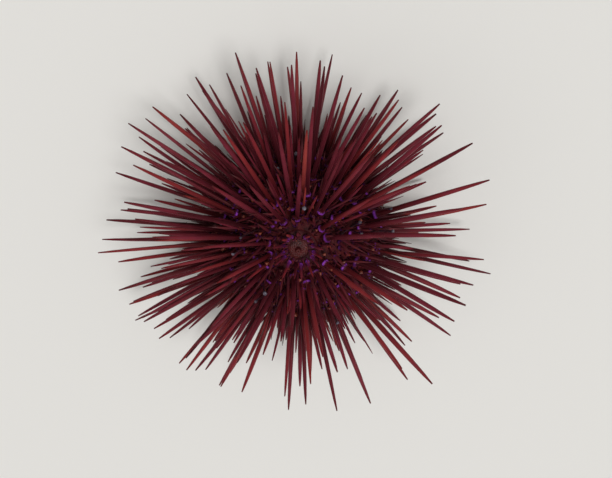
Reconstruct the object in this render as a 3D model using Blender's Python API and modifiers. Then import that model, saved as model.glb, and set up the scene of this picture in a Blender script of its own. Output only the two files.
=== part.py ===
"""A purple sea urchin at life size, standing on the tips of its lower spines.

The round test is divided as the animal is: five narrow ambulacra and five wide
interambulacra, each with the spines that grow from it, round an apical disc with
the anus on top and the mouth with its five teeth underneath.
Metres, +Z up, the floor at Z = 0, the test's axis near the origin.
"""

import math

import bmesh
import bpy
import numpy as np
from mathutils import Matrix, Vector

# Test: a dome over a flatter base, both part of a rounded ellipse.
TEST_RADIUS = 0.0185
DOME_HEIGHT = 0.0112
BASE_DEPTH = 0.0070
DOME_POWER = 2.15
BASE_POWER = 2.6
AMBITUS_HEIGHT = 0.0130
PROFILE_SAMPLES = 721
TURN_STEPS = 60
PROFILE_RINGS = 15

# Gap kept between neighbouring pieces, and the distance at which doubled points are merged.
GAP = 0.0003
MERGE = 0.000005

# Rays: the first ambulacrum faces +Y, and the ten sectors follow it anticlockwise.
RAYS = 5
FIRST_RAY_DEG = 90.0
AMBULACRUM_DEG = 30.0
INTERAMBULACRUM_DEG = 42.0

# Apical disc, with the ring of plates round the anal membrane.
DISC_RADIUS = 0.0041
DISC_DEPTH = 0.0022
DISC_CROWN = 0.0003
DISC_BEVEL = 0.0006
DISC_STEPS = 30
PLATE_RISE = 0.00035
PLATE_DRAW_IN = 0.82
GENITAL_PLATE_RADIUS = 0.00105
GENITAL_PLATE_SIDES = 6
OCULAR_PLATE_RADIUS = 0.00062
OCULAR_PLATE_SIDES = 5
OCULAR_PLATE_EDGE = 0.0002
ANUS_RADIUS = 0.0019
ANUS_BULGE = 0.0006
ANUS_STEPS = 20
ANAL_CONE_RADIUS = 0.0007
ANAL_CONE_HEIGHT = 0.0012

# Mouth: a membrane with a raised lip, and five teeth that meet near the axis.
MOUTH_RADIUS = 0.0065
MOUTH_DEPTH = 0.0024
MOUTH_DISH = 0.0005
MOUTH_STEPS = 30
LIP_RADIUS = 0.0022
LIP_RISE = 0.0007
TOOTH_ROOT_RADIUS = 0.0017
TOOTH_TIP_RADIUS = 0.00045
TOOTH_THICKNESS = 0.00055
TOOTH_TIP_THICKNESS = 0.00019
TOOTH_DROP = 0.0017
TOOTH_SINK = 0.0008

# Spines: stations run from the apical disc, 0, to the mouth, 1.
SPINE_SEED = 367
SPINE_SPACING = 0.0029
SPINE_ROW_STEP = 0.0026
STATIONS = (0.0, 0.12, 0.34, 0.57, 0.78, 1.0)
STATION_LENGTHS = (0.0150, 0.0245, 0.0280, 0.0268, 0.0165, 0.0078)
STATION_LEANS_DEG = (38.0, 58.0, 74.0, 91.0, 112.0, 150.0)
LENGTH_SPREAD = 0.07
SHORT_SHARE = 0.42
SHORT_RANGE = (0.56, 0.88)
TURN_SPREAD_DEG = 3.8
LEAN_SPREAD_DEG = 3.7

# Neighbouring spines lean together in loose bunches round the animal.
BUNCHES = 17
BUNCH_TURN_DEG = 2.0
BUNCH_TWIST = 9.0

# Length of the spines towards each eighth of the turn from +X, as a share of their station's.
SIDE_REACH = (0.94, 0.955, 0.885, 0.94, 1.01, 0.86, 0.83, 0.985)

# The side towards +X and -Y has fewer spines.
THIN_SIDE_DEG = 332.0
THIN_SHARE = 0.62
THIN_STATION = 0.86

# Where a spine may stand in its row, as shares of the row's step and of its place's width.
ROW_EDGE = 0.0010
ROW_STAGGER = 0.25
ROW_JITTER = 0.16
PLACE_JITTER = 0.24
DRAWS = 80

# One spine: a straight shank to its shoulder, then a taper to the tip.
SPINE_RADIUS = 0.00060
SPINE_RADIUS_AT = 0.0270
SPINE_RADIUS_POWER = 0.35
SPINE_RADIUS_SPREAD = 0.08
SPINE_SIDES = 6
SHOULDER_AT = 0.48
SHOULDER_WIDTH = 0.88
FOOT_TIP_WIDTH = 0.52
FOOT_SINK = 0.00022
ROOT_SINK = 0.0016
EDGE_MARGIN = 0.00038
SPINE_CLEARANCE = 0.00042
TAPER_FROM = 0.3

# Small spines on the apical plates: turn from the ray in degrees and share of the full length.
DISC_SPINES = ((0.0, 1.0), (27.0, 0.82), (45.0, 0.82))
DISC_SPINE_AT = 0.80
DISC_SPINE_LENGTH = 0.0062
DISC_SPINE_RADIUS = 0.00033
DISC_SPINE_LEAN_DEG = 24.0
DISC_SPINE_SINK = 0.0010

SMOOTH_UNDER_DEG = 40.0

# Finishes: name, base colour as linear RGB, roughness.
FINISHES = {
    "maroon_spines": ((0.130, 0.020, 0.024), 0.45),
    "dark_plates": ((0.055, 0.014, 0.018), 0.60),
    "anal_skin": ((0.160, 0.050, 0.035), 0.55),
    "mouth_skin": ((0.210, 0.075, 0.060), 0.55),
}


def clear_scene():
    """Removes whatever the scene holds."""
    for item in list(bpy.data.objects):
        bpy.data.objects.remove(item, do_unlink=True)


def new_collection(name):
    """A collection linked to the scene."""
    collection = bpy.data.collections.new(name)
    bpy.context.scene.collection.children.link(collection)
    return collection


def new_material(name):
    """A Principled material with a finish's colour and roughness."""
    colour, roughness = FINISHES[name]
    material = bpy.data.materials.new(name)
    material.use_nodes = True
    shader = material.node_tree.nodes["Principled BSDF"]
    shader.inputs["Base Color"].default_value = (*colour, 1.0)
    shader.inputs["Roughness"].default_value = roughness
    shader.inputs["Metallic"].default_value = 0.0
    return material


def new_object(name, mesh, collection):
    """An object that shows the mesh, in the collection."""
    item = bpy.data.objects.new(name, mesh)
    collection.objects.link(item)
    return item


def mesh_from(bm, name):
    """The bmesh as a mesh with its faces pointing outwards. Frees the bmesh."""
    bmesh.ops.recalc_face_normals(bm, faces=bm.faces)
    mesh = bpy.data.meshes.new(name)
    bm.to_mesh(mesh)
    bm.free()
    return mesh


def test_outline():
    """Radius, height and arc length of the test's profile, from the apex to the lower pole."""
    angle = np.linspace(0.0, math.pi, PROFILE_SAMPLES)
    dome = angle <= math.pi / 2
    power = np.where(dome, 2.0 / DOME_POWER, 2.0 / BASE_POWER)
    height = np.where(dome, DOME_HEIGHT, -BASE_DEPTH)
    radius = TEST_RADIUS * np.abs(np.sin(angle)) ** power
    z = AMBITUS_HEIGHT + height * np.abs(np.cos(angle)) ** power
    run = np.hypot(np.diff(radius), np.diff(z))
    return radius, z, np.concatenate(([0.0], np.cumsum(run)))


OUTLINE_RADIUS, OUTLINE_Z, OUTLINE_RUN = test_outline()


def run_at_radius(radius, lower):
    """Arc length at which the profile has this radius, on its lower or upper half."""
    half = len(OUTLINE_RADIUS) // 2
    if lower:
        return float(np.interp(-radius, -OUTLINE_RADIUS[half:], OUTLINE_RUN[half:]))
    return float(np.interp(radius, OUTLINE_RADIUS[: half + 1], OUTLINE_RUN[: half + 1]))


def outline_at(run):
    """Radius and height on the test's profile at an arc length."""
    radius, z = (float(np.interp(run, OUTLINE_RUN, line)) for line in (OUTLINE_RADIUS, OUTLINE_Z))
    return radius, z


SKIN_START = run_at_radius(DISC_RADIUS + GAP, lower=False)
SKIN_END = run_at_radius(MOUTH_RADIUS + GAP, lower=True)
DISC_TOP = outline_at(SKIN_START)[1]
PLATE_BED = DISC_TOP + DISC_CROWN
MOUTH_FACE = outline_at(SKIN_END)[1]


def turned_mesh(profile, name, steps, start_deg=0.0):
    """A closed solid turned about Z from a profile of (radius, height), given top to bottom."""
    bm = bmesh.new()
    points = [bm.verts.new((radius, 0.0, z)) for radius, z in profile]
    for first, second in zip(points, points[1:]):
        bm.edges.new((first, second))
    line = bpy.data.meshes.new(name + "_line")
    bm.to_mesh(line)
    bm.free()
    helper = bpy.data.objects.new(name + "_helper", line)
    bpy.context.scene.collection.objects.link(helper)
    screw = helper.modifiers.new("turn", "SCREW")
    screw.axis = "Z"
    screw.angle = math.tau
    screw.steps = steps
    screw.render_steps = steps
    screw.use_merge_vertices = True
    screw.merge_threshold = MERGE
    graph = bpy.context.evaluated_depsgraph_get()
    mesh = bpy.data.meshes.new_from_object(helper.evaluated_get(graph))
    mesh.transform(Matrix.Rotation(math.radians(start_deg), 4, "Z"))
    bpy.data.objects.remove(helper, do_unlink=True)
    bm = bmesh.new()
    bm.from_mesh(mesh)
    bmesh.ops.remove_doubles(bm, verts=bm.verts, dist=MERGE)
    return mesh_from(bm, name)


def corona_mesh():
    """The whole test without its apical disc and mouth, as one turned solid."""
    profile = [(0.0, DISC_TOP - DISC_DEPTH), (DISC_RADIUS + GAP, DISC_TOP - DISC_DEPTH)]
    for run in np.linspace(SKIN_START, SKIN_END, PROFILE_RINGS):
        profile.append(outline_at(run))
    profile.append((MOUTH_RADIUS + GAP, MOUTH_FACE + MOUTH_DEPTH))
    profile.append((0.0, MOUTH_FACE + MOUTH_DEPTH))
    half_step = 180.0 / TURN_STEPS
    return turned_mesh(profile, "corona", TURN_STEPS, half_step)


def cut_plane(bm, point, normal):
    """Cuts the solid by a plane, drops the side that the normal points to and closes the cut."""
    geometry = [*bm.verts, *bm.edges, *bm.faces]
    cut = bmesh.ops.bisect_plane(
        bm, geom=geometry, dist=1e-8, plane_co=point, plane_no=normal, clear_outer=True
    )
    edges = [item for item in cut["geom_cut"] if isinstance(item, bmesh.types.BMEdge)]
    if edges:
        bmesh.ops.holes_fill(bm, edges=edges)


def sector_mesh(corona, name, centre_deg, width_deg):
    """One sector of the test, cut from the whole by two planes through the axis."""
    bm = bmesh.new()
    bm.from_mesh(corona)
    for side in (-1, 1):
        angle = math.radians(centre_deg + side * width_deg / 2)
        normal = Vector((-math.sin(angle) * side, math.cos(angle) * side, 0.0))
        cut_plane(bm, -normal * GAP / 2, normal)
    return mesh_from(bm, name)


def sectors():
    """Name, centre and width in degrees of the ten sectors, in order round the test."""
    listed = []
    for ray in range(RAYS):
        centre = FIRST_RAY_DEG + ray * 360.0 / RAYS
        listed.append((f"ambulacrum_{ray + 1}", centre, AMBULACRUM_DEG))
        listed.append((f"interambulacrum_{ray + 1}", centre + 180.0 / RAYS, INTERAMBULACRUM_DEG))
    return listed


def gaps_between(start, end, radius, others):
    """Free space between one tapered spine and each of the others, from axis to axis less both radii."""
    starts = np.array([item["root"] for item in others])
    ends = np.array([item["tip"] for item in others])
    widths = np.array([item["radius"] for item in others])
    first, second, between = end - start, ends - starts, start - starts
    a = first @ first
    b = second @ first
    c = between @ first
    e = np.einsum("ij,ij->i", second, second)
    f = np.einsum("ij,ij->i", second, between)
    spread = a * e - b * b
    s = np.clip((b * f - c * e) / np.maximum(spread, 1e-18), 0.0, 1.0)
    t = np.clip((b * s + f) / e, 0.0, 1.0)
    s = np.clip((b * t - c) / a, 0.0, 1.0)
    apart = between + s[:, None] * first - t[:, None] * second
    taper_s, taper_t = (1.0 - SHOULDER_WIDTH * np.maximum(0.0, x - TAPER_FROM) for x in (s, t))
    return np.linalg.norm(apart, axis=1) - radius * taper_s - widths * taper_t


def spine_draw(rng, run, azimuth):
    """One draw of a spine on the test: its root, tip, radius and whether it stands on the floor."""
    station = (run - SKIN_START) / (SKIN_END - SKIN_START)
    length = float(np.interp(station, STATIONS, STATION_LENGTHS))
    lean = math.radians(float(np.interp(station, STATIONS, STATION_LEANS_DEG)))
    length *= 1.0 + LENGTH_SPREAD * float(np.clip(rng.normal(), -2.0, 2.0))
    short, share = rng.random(), rng.uniform(*SHORT_RANGE)
    sides = np.linspace(0.0, math.tau, len(SIDE_REACH) + 1)
    length *= float(np.interp(azimuth % math.tau, sides, (*SIDE_REACH, SIDE_REACH[0])))
    if short < SHORT_SHARE and STATIONS[1] < station < STATIONS[4]:
        length *= share
    lean += math.radians(LEAN_SPREAD_DEG) * float(np.clip(rng.normal(), -2.0, 2.0))
    turn = math.radians(TURN_SPREAD_DEG) * float(np.clip(rng.normal(), -2.0, 2.0))
    turn += math.radians(BUNCH_TURN_DEG) * math.sin(BUNCHES * azimuth + BUNCH_TWIST * station)
    radius, z = outline_at(run)
    root = np.array((radius * math.cos(azimuth), radius * math.sin(azimuth), z))
    lowest = -(z + FOOT_SINK) / length
    stands = math.cos(lean) <= lowest
    if stands:
        lean = math.acos(lowest)
    heading = azimuth + turn
    flat = math.sin(lean)
    direction = np.array((flat * math.cos(heading), flat * math.sin(heading), math.cos(lean)))
    width = SPINE_RADIUS * (length / SPINE_RADIUS_AT) ** SPINE_RADIUS_POWER
    width *= 1.0 + SPINE_RADIUS_SPREAD * float(np.clip(rng.normal(), -2.0, 2.0))
    return {
        "root": root,
        "tip": root + direction * length,
        "direction": direction,
        "length": length,
        "radius": width,
        "stands": stands,
    }


def spine_layout():
    """Every spine of the test, sector by sector and row by row, each clear of those set before it."""
    rng = np.random.default_rng(SPINE_SEED)
    rows = int((SKIN_END - SKIN_START - 2 * ROW_EDGE) / SPINE_ROW_STEP)
    spines = []
    for name, centre, width in sectors():
        for row in range(rows):
            spines.extend(row_of_spines(rng, name, centre, width, row, rows, spines))
    return spines


def row_of_spines(rng, name, centre, width, row, rows, placed):
    """The spines of one row across one sector. A row has as many as its width holds."""
    inner, outer = SKIN_START + ROW_EDGE, SKIN_END - ROW_EDGE
    step = (outer - inner) / rows
    middle = outline_at(inner + (row + 0.5) * step)[0]
    count = max(1, round(middle * math.radians(width) / SPINE_SPACING))
    made = []
    for place in range(count):
        stagger = ROW_STAGGER if (row + place) % 2 else -ROW_STAGGER
        thin_side = max(0.0, math.cos(math.radians(centre - THIN_SIDE_DEG)))
        if rng.random() < THIN_SHARE * thin_side and (row + 0.5) / rows < THIN_STATION:
            continue
        for _ in range(DRAWS):
            run = inner + (row + 0.5 + stagger + rng.uniform(-ROW_JITTER, ROW_JITTER)) * step
            edge = math.degrees((SPINE_RADIUS + EDGE_MARGIN) / outline_at(run)[0])
            room = max(0.0, width / 2 - edge)
            aside = width * ((place + 0.5 + rng.uniform(-PLACE_JITTER, PLACE_JITTER)) / count - 0.5)
            azimuth = math.radians(centre + max(-room, min(room, aside)))
            spine = spine_draw(rng, run, azimuth)
            spine["node"] = name
            others = placed + made
            if not others or SPINE_CLEARANCE < gaps_between(
                spine["root"], spine["tip"], spine["radius"], others
            ).min():
                made.append(spine)
                break
    return made


def spine_template(name, tip_width):
    """A spine of unit length and base radius on +Z: a straight shank to the shoulder, then a taper."""
    bm = bmesh.new()
    bmesh.ops.create_cone(
        bm, cap_ends=True, segments=SPINE_SIDES, radius1=1.0, radius2=tip_width, depth=1.0
    )
    bmesh.ops.translate(bm, verts=bm.verts, vec=(0.0, 0.0, 0.5))
    geometry = [*bm.verts, *bm.edges, *bm.faces]
    shoulder = bmesh.ops.bisect_plane(
        bm, geom=geometry, plane_co=(0.0, 0.0, SHOULDER_AT), plane_no=(0.0, 0.0, 1.0)
    )
    straight = 1.0 - (1.0 - tip_width) * SHOULDER_AT
    for vert in shoulder["geom_cut"]:
        if isinstance(vert, bmesh.types.BMVert):
            vert.co.xy *= SHOULDER_WIDTH / straight
    bmesh.ops.remove_doubles(bm, verts=bm.verts, dist=1e-5)
    return mesh_from(bm, name)


def add_spine(bm, template, root, direction, length, radius, sink):
    """Adds a copy of the template to the bmesh, its root sunk below the skin."""
    direction = Vector(direction)
    turn = direction.to_track_quat("Z", "Y").to_matrix().to_4x4()
    size = Matrix.Diagonal((radius, radius, length + sink, 1.0))
    place = Matrix.Translation(Vector(root) - direction * sink)
    before = len(bm.verts)
    bm.from_mesh(template)
    bm.verts.ensure_lookup_table()
    bmesh.ops.transform(bm, matrix=place @ turn @ size, verts=bm.verts[before:])


def spines_mesh(name, spines, sharp, blunt):
    """The spines of one node as closed pieces in one mesh, those that stand cut level with the floor."""
    bm = bmesh.new()
    for spine in spines:
        template = blunt if spine["stands"] else sharp
        add_spine(
            bm, template, spine["root"], spine["direction"], spine["length"], spine["radius"], ROOT_SINK
        )
    if min(vert.co.z for vert in bm.verts) < 0.0:
        cut_plane(bm, Vector((0.0, 0.0, 0.0)), Vector((0.0, 0.0, -1.0)))
    return mesh_from(bm, name)


def keep_largest_surface(mesh):
    """Drops every closed surface of the mesh but the largest."""
    bm = bmesh.new()
    bm.from_mesh(mesh)
    bm.faces.ensure_lookup_table()
    left = set(range(len(bm.faces)))
    shells = []
    while left:
        stack = [left.pop()]
        shell = []
        while stack:
            face = bm.faces[stack.pop()]
            shell.append(face)
            for edge in face.edges:
                for near in edge.link_faces:
                    if near.index in left:
                        left.discard(near.index)
                        stack.append(near.index)
        shells.append(shell)
    shells.sort(key=lambda faces: -sum(face.calc_area() for face in faces))
    extra = [face for shell in shells[1:] for face in shell]
    if extra:
        bmesh.ops.delete(bm, geom=extra, context="FACES")
    bm.to_mesh(mesh)
    bm.free()


def fused(body, pieces, collection):
    """Joins a body mesh and meshes of closed pieces by one Boolean union, and returns the mesh.

    The union is MANIFOLD, because EXACT loses the body of a sector among its many spines.
    """
    pool = new_collection("pieces_to_join")
    for number, mesh in enumerate(pieces):
        new_object(f"piece_{number}", mesh, pool)
    item = new_object("body_to_join", body, collection)
    join = item.modifiers.new("join", "BOOLEAN")
    join.operation = "UNION"
    join.solver = "MANIFOLD"
    join.operand_type = "COLLECTION"
    join.collection = pool
    bpy.context.view_layer.update()
    graph = bpy.context.evaluated_depsgraph_get()
    mesh = bpy.data.meshes.new_from_object(item.evaluated_get(graph))
    for used in [item, *pool.objects]:
        bpy.data.objects.remove(used, do_unlink=True)
    bpy.data.collections.remove(pool)
    keep_largest_surface(mesh)
    return mesh


def place_node(name, mesh, material, collection):
    """A finished node: its mesh, material and shading."""
    mesh.name = name
    mesh.materials.clear()
    mesh.materials.append(material)
    mesh.shade_smooth()
    mesh.set_sharp_from_angle(angle=math.radians(SMOOTH_UNDER_DEG))
    return new_object(name, mesh, collection)


def plate_mesh(name, radius, sides, centre_radius, azimuth):
    """A raised plate of the apical disc: a low prism with its top slightly drawn in."""
    bm = bmesh.new()
    bmesh.ops.create_cone(
        bm,
        cap_ends=True,
        segments=sides,
        radius1=radius,
        radius2=radius * PLATE_DRAW_IN,
        depth=2 * PLATE_RISE,
    )
    place = Vector((centre_radius * math.cos(azimuth), centre_radius * math.sin(azimuth), PLATE_BED))
    bmesh.ops.rotate(bm, verts=bm.verts, matrix=Matrix.Rotation(azimuth, 3, "Z"))
    bmesh.ops.translate(bm, verts=bm.verts, vec=place)
    return mesh_from(bm, name)


def disc_mesh():
    """The ring that carries the apical plates, turned, with a hole for the anal membrane."""
    outer, inner = DISC_RADIUS, ANUS_RADIUS + GAP
    low = DISC_TOP - DISC_DEPTH + GAP
    profile = [
        (inner, low),
        (inner, PLATE_BED),
        (outer - DISC_BEVEL, PLATE_BED - DISC_CROWN / 3),
        (outer, DISC_TOP),
        (outer, low),
    ]
    bm = bmesh.new()
    face = bm.faces.new([bm.verts.new((radius, 0.0, z)) for radius, z in profile])
    bmesh.ops.spin(
        bm,
        geom=[face, *face.edges, *face.verts],
        cent=(0.0, 0.0, 0.0),
        axis=(0.0, 0.0, 1.0),
        angle=math.tau,
        steps=DISC_STEPS,
        use_merge=True,
    )
    inside = [item for item in bm.faces if len(item.verts) == len(profile)]
    bmesh.ops.delete(bm, geom=inside, context="FACES_ONLY")
    bmesh.ops.remove_doubles(bm, verts=bm.verts, dist=MERGE)
    return mesh_from(bm, "disc")


def disc_plates():
    """Five genital plates between the rays and five smaller ocular plates on them."""
    genital_at = ANUS_RADIUS + GAP + GENITAL_PLATE_RADIUS
    ocular_at = DISC_RADIUS - OCULAR_PLATE_RADIUS - OCULAR_PLATE_EDGE
    meshes = []
    for ray in range(RAYS):
        on_ray = math.radians(FIRST_RAY_DEG + ray * 360.0 / RAYS)
        between = on_ray + math.pi / RAYS
        meshes.append(
            plate_mesh("genital", GENITAL_PLATE_RADIUS, GENITAL_PLATE_SIDES, genital_at, between)
        )
        meshes.append(plate_mesh("ocular", OCULAR_PLATE_RADIUS, OCULAR_PLATE_SIDES, ocular_at, on_ray))
    return meshes


def disc_spines(sharp):
    """Two small spines on each genital plate and one on each ocular plate."""
    bm = bmesh.new()
    lean = math.radians(DISC_SPINE_LEAN_DEG)
    flat = math.sin(lean)
    at = DISC_RADIUS * DISC_SPINE_AT
    for ray in range(RAYS):
        for turn, share in DISC_SPINES:
            azimuth = math.radians(FIRST_RAY_DEG + ray * 360.0 / RAYS + turn)
            root = (at * math.cos(azimuth), at * math.sin(azimuth), PLATE_BED + PLATE_RISE)
            direction = (flat * math.cos(azimuth), flat * math.sin(azimuth), math.cos(lean))
            length = DISC_SPINE_LENGTH * share
            add_spine(bm, sharp, root, direction, length, DISC_SPINE_RADIUS, DISC_SPINE_SINK)
    return mesh_from(bm, "disc_spines")


def periproct_mesh():
    """The anal membrane: a low dome with the anal cone in its middle."""
    low = DISC_TOP - DISC_DEPTH + GAP
    top = DISC_TOP + ANUS_BULGE
    profile = [
        (0.0, top + ANAL_CONE_HEIGHT * 0.7),
        (ANAL_CONE_RADIUS * 0.55, top + ANAL_CONE_HEIGHT),
        (ANAL_CONE_RADIUS, top + ANUS_BULGE / 6),
        (ANUS_RADIUS * 0.75, top - ANUS_BULGE / 3),
        (ANUS_RADIUS, DISC_TOP),
        (ANUS_RADIUS, low),
        (0.0, low),
    ]
    return turned_mesh(profile, "periproct", ANUS_STEPS)


def mouth_membrane_mesh():
    """The mouth's membrane: a shallow ring, then the lip round the teeth. It faces down."""
    face = MOUTH_FACE
    back = face + MOUTH_DEPTH - GAP
    profile = [
        (0.0, back),
        (MOUTH_RADIUS, back),
        (MOUTH_RADIUS, face + MOUTH_DISH / 5),
        (MOUTH_RADIUS * 0.80, face + MOUTH_DISH),
        (LIP_RADIUS * 1.35, face + MOUTH_DISH * 0.4),
        (LIP_RADIUS, face - LIP_RISE),
        (LIP_RADIUS * 0.72, face - LIP_RISE * 0.8),
        (LIP_RADIUS * 0.60, face),
        (0.0, face + MOUTH_DISH * 0.4),
    ]
    return turned_mesh(profile, "membrane", MOUTH_STEPS)


def tooth_mesh(ray):
    """One tooth: a four-sided wedge that leans in to the axis."""
    azimuth = math.radians(FIRST_RAY_DEG + 180.0 / RAYS + ray * 360.0 / RAYS)
    outward = Vector((math.cos(azimuth), math.sin(azimuth), 0.0))
    root = outward * TOOTH_ROOT_RADIUS + Vector((0.0, 0.0, MOUTH_FACE + TOOTH_SINK))
    tip = outward * TOOTH_TIP_RADIUS + Vector((0.0, 0.0, MOUTH_FACE - TOOTH_DROP))
    along = tip - root
    bm = bmesh.new()
    bmesh.ops.create_cone(
        bm,
        cap_ends=True,
        segments=4,
        radius1=TOOTH_THICKNESS,
        radius2=TOOTH_TIP_THICKNESS,
        depth=along.length,
    )
    turn = along.to_track_quat("Z", "Y").to_matrix().to_4x4()
    place = Matrix.Translation((root + tip) / 2)
    bmesh.ops.transform(bm, matrix=place @ turn, verts=bm.verts)
    return mesh_from(bm, f"tooth_{ray}")


def centre_over_origin(collection):
    """Moves the whole animal so that the middle of its box stands over the origin."""
    corners = np.array(
        [tuple(vert.co) for item in collection.objects for vert in item.data.vertices]
    )
    middle = (corners.min(0) + corners.max(0)) / 2
    shift = Matrix.Translation((-middle[0], -middle[1], 0.0))
    for item in collection.objects:
        item.data.transform(shift)
    print("shift over the origin, mm:", [round(1000 * value, 4) for value in -middle[:2]])


def main():
    """Builds the urchin's nodes."""
    clear_scene()
    urchin = new_collection("purple_sea_urchin")
    materials = {name: new_material(name) for name in FINISHES}
    sharp = spine_template("sharp_spine", 0.0)
    blunt = spine_template("blunt_spine", FOOT_TIP_WIDTH)
    spines = spine_layout()
    corona = corona_mesh()
    for name, centre, width in sectors():
        own = [spine for spine in spines if spine["node"] == name]
        body = sector_mesh(corona, name + "_body", centre, width)
        joined = fused(body, [spines_mesh(name + "_spines", own, sharp, blunt)], urchin)
        place_node(name, joined, materials["maroon_spines"], urchin)
    disc = fused(disc_mesh(), [*disc_plates(), disc_spines(sharp)], urchin)
    place_node("apical_disc", disc, materials["dark_plates"], urchin)
    place_node("periproct", periproct_mesh(), materials["anal_skin"], urchin)
    mouth = fused(mouth_membrane_mesh(), [tooth_mesh(ray) for ray in range(RAYS)], urchin)
    place_node("mouth", mouth, materials["mouth_skin"], urchin)
    centre_over_origin(urchin)
    print("spines:", len(spines), "standing:", sum(spine["stands"] for spine in spines))


main()
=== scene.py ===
"""Looks of a purple sea urchin at life size, standing on the tips of its lower spines.

One dark skin covers the round test. Long maroon spines with a violet ring at each root grow from it,
with short and tiny spines, tube feet and pincers between them. The apical plates and the anal cone
are on top, the mouth with its five teeth underneath. Metres, +Z up, the floor at Z = 0.
"""

import logging
import math
from collections.abc import Sequence
from dataclasses import dataclass, field
from enum import Enum
from functools import cached_property
from typing import Any

import bpy
import numpy as np
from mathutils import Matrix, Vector
from numpy.typing import NDArray


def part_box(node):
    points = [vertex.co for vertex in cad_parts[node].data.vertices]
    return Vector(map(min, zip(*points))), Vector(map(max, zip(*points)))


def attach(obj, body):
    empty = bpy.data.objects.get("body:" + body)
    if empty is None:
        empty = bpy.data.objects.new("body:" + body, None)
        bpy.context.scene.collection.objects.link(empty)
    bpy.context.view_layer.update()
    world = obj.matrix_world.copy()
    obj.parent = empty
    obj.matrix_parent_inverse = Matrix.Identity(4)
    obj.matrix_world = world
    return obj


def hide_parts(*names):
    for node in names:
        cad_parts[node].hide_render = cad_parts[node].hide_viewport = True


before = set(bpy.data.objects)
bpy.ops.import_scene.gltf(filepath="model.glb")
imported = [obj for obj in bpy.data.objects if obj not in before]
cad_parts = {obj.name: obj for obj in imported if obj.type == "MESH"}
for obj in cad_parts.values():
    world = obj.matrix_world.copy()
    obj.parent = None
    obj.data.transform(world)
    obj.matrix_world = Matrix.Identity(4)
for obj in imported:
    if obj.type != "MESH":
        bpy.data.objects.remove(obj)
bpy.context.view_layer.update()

Array = NDArray[np.float64]
LOG = logging.getLogger("urchin")
BODY = "root"
BAKE_MAP = "OFBake"
RIB_MAP = "Ribs"
MM_PER_M = 1000.0
GOLDEN_ANGLE = math.pi * (3.0 - math.sqrt(5.0))

# Settings and output of the nodes that mix or multiply two colours.
MIXED = {"data_type": "RGBA", "output": 2}
MULTIPLIED = {"blend_type": "MULTIPLY", **MIXED}

# Share of its cell on the unwrap that a form fills.
CELL_FILL = 0.94

# A form whose direction has more of Z than this finds the ways across it from +X, others from +Z.
STEEP = 0.95

# Keeps the nearest points of two parallel axes from a division by zero.
PARALLEL = 1e-18


class Slot(Enum):
    """Material slots of the record, one for each kind of finish."""

    SPINED_SKIN = "spined_skin"
    APICAL_PLATES = "apical_plates"
    ANAL_SKIN = "anal_skin"
    MOUTH_SKIN = "mouth_skin"


class Trait(Enum):
    """Values that a mesh carries for its finish, one for each point."""

    TONE = "tone"
    ALONG = "along"
    RING = "ring"


def linear(code: str) -> tuple[float, float, float, float]:
    """Turns an sRGB hex value into linear RGBA.

    Args:
        code: the value, such as "#7a2c30".

    Returns:
        Red, green, blue and alpha, each from 0 to 1.
    """
    parts = np.array([int(code[at : at + 2], 16) for at in (1, 3, 5)]) / 255.0
    low = parts / 12.92
    high = ((parts + 0.055) / 1.055) ** 2.4
    red, green, blue = np.where(parts <= 0.04045, low, high)
    return float(red), float(green), float(blue), 1.0


def add_node(
    tree: bpy.types.NodeTree,
    kind: str,
    inputs: dict[Any, Any] | None = None,
    stops: Sequence[tuple[float, str]] = (),
    output: int | str = 0,
    **settings: Any,
) -> bpy.types.NodeSocket | None:
    """Adds a shader node with its settings, values and links.

    Args:
        tree: the material's or world's node tree.
        kind: the node's Blender type, without its ShaderNode prefix.
        inputs: socket name or number, with a value or an output socket to link from.
        stops: position and sRGB hex value of each stop, where the node is a colour ramp.
        output: name or number of the output socket that is handed back.
        settings: properties of the node.

    Returns:
        That output socket, or None for a node without any.
    """
    made = tree.nodes.new("ShaderNode" + kind)
    for name, value in settings.items():
        setattr(made, name, value)
    for number, (position, code) in enumerate(stops):
        ramp = made.color_ramp.elements
        stop = ramp[number] if number < 2 else ramp.new(position)
        stop.position = position
        stop.color = linear(code)
    for name, value in (inputs or {}).items():
        if isinstance(value, bpy.types.NodeSocket):
            tree.links.new(value, made.inputs[name])
        else:
            made.inputs[name].default_value = value
    return made.outputs[output] if len(made.outputs) else None


def new_material(name: str) -> tuple[bpy.types.Material, bpy.types.NodeTree]:
    """Makes an empty node material.

    Args:
        name: the material's name.

    Returns:
        The material and its node tree, which holds no nodes yet.
    """
    material = bpy.data.materials.new(name)
    material.use_nodes = True
    material.node_tree.nodes.clear()
    return material, material.node_tree


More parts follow.
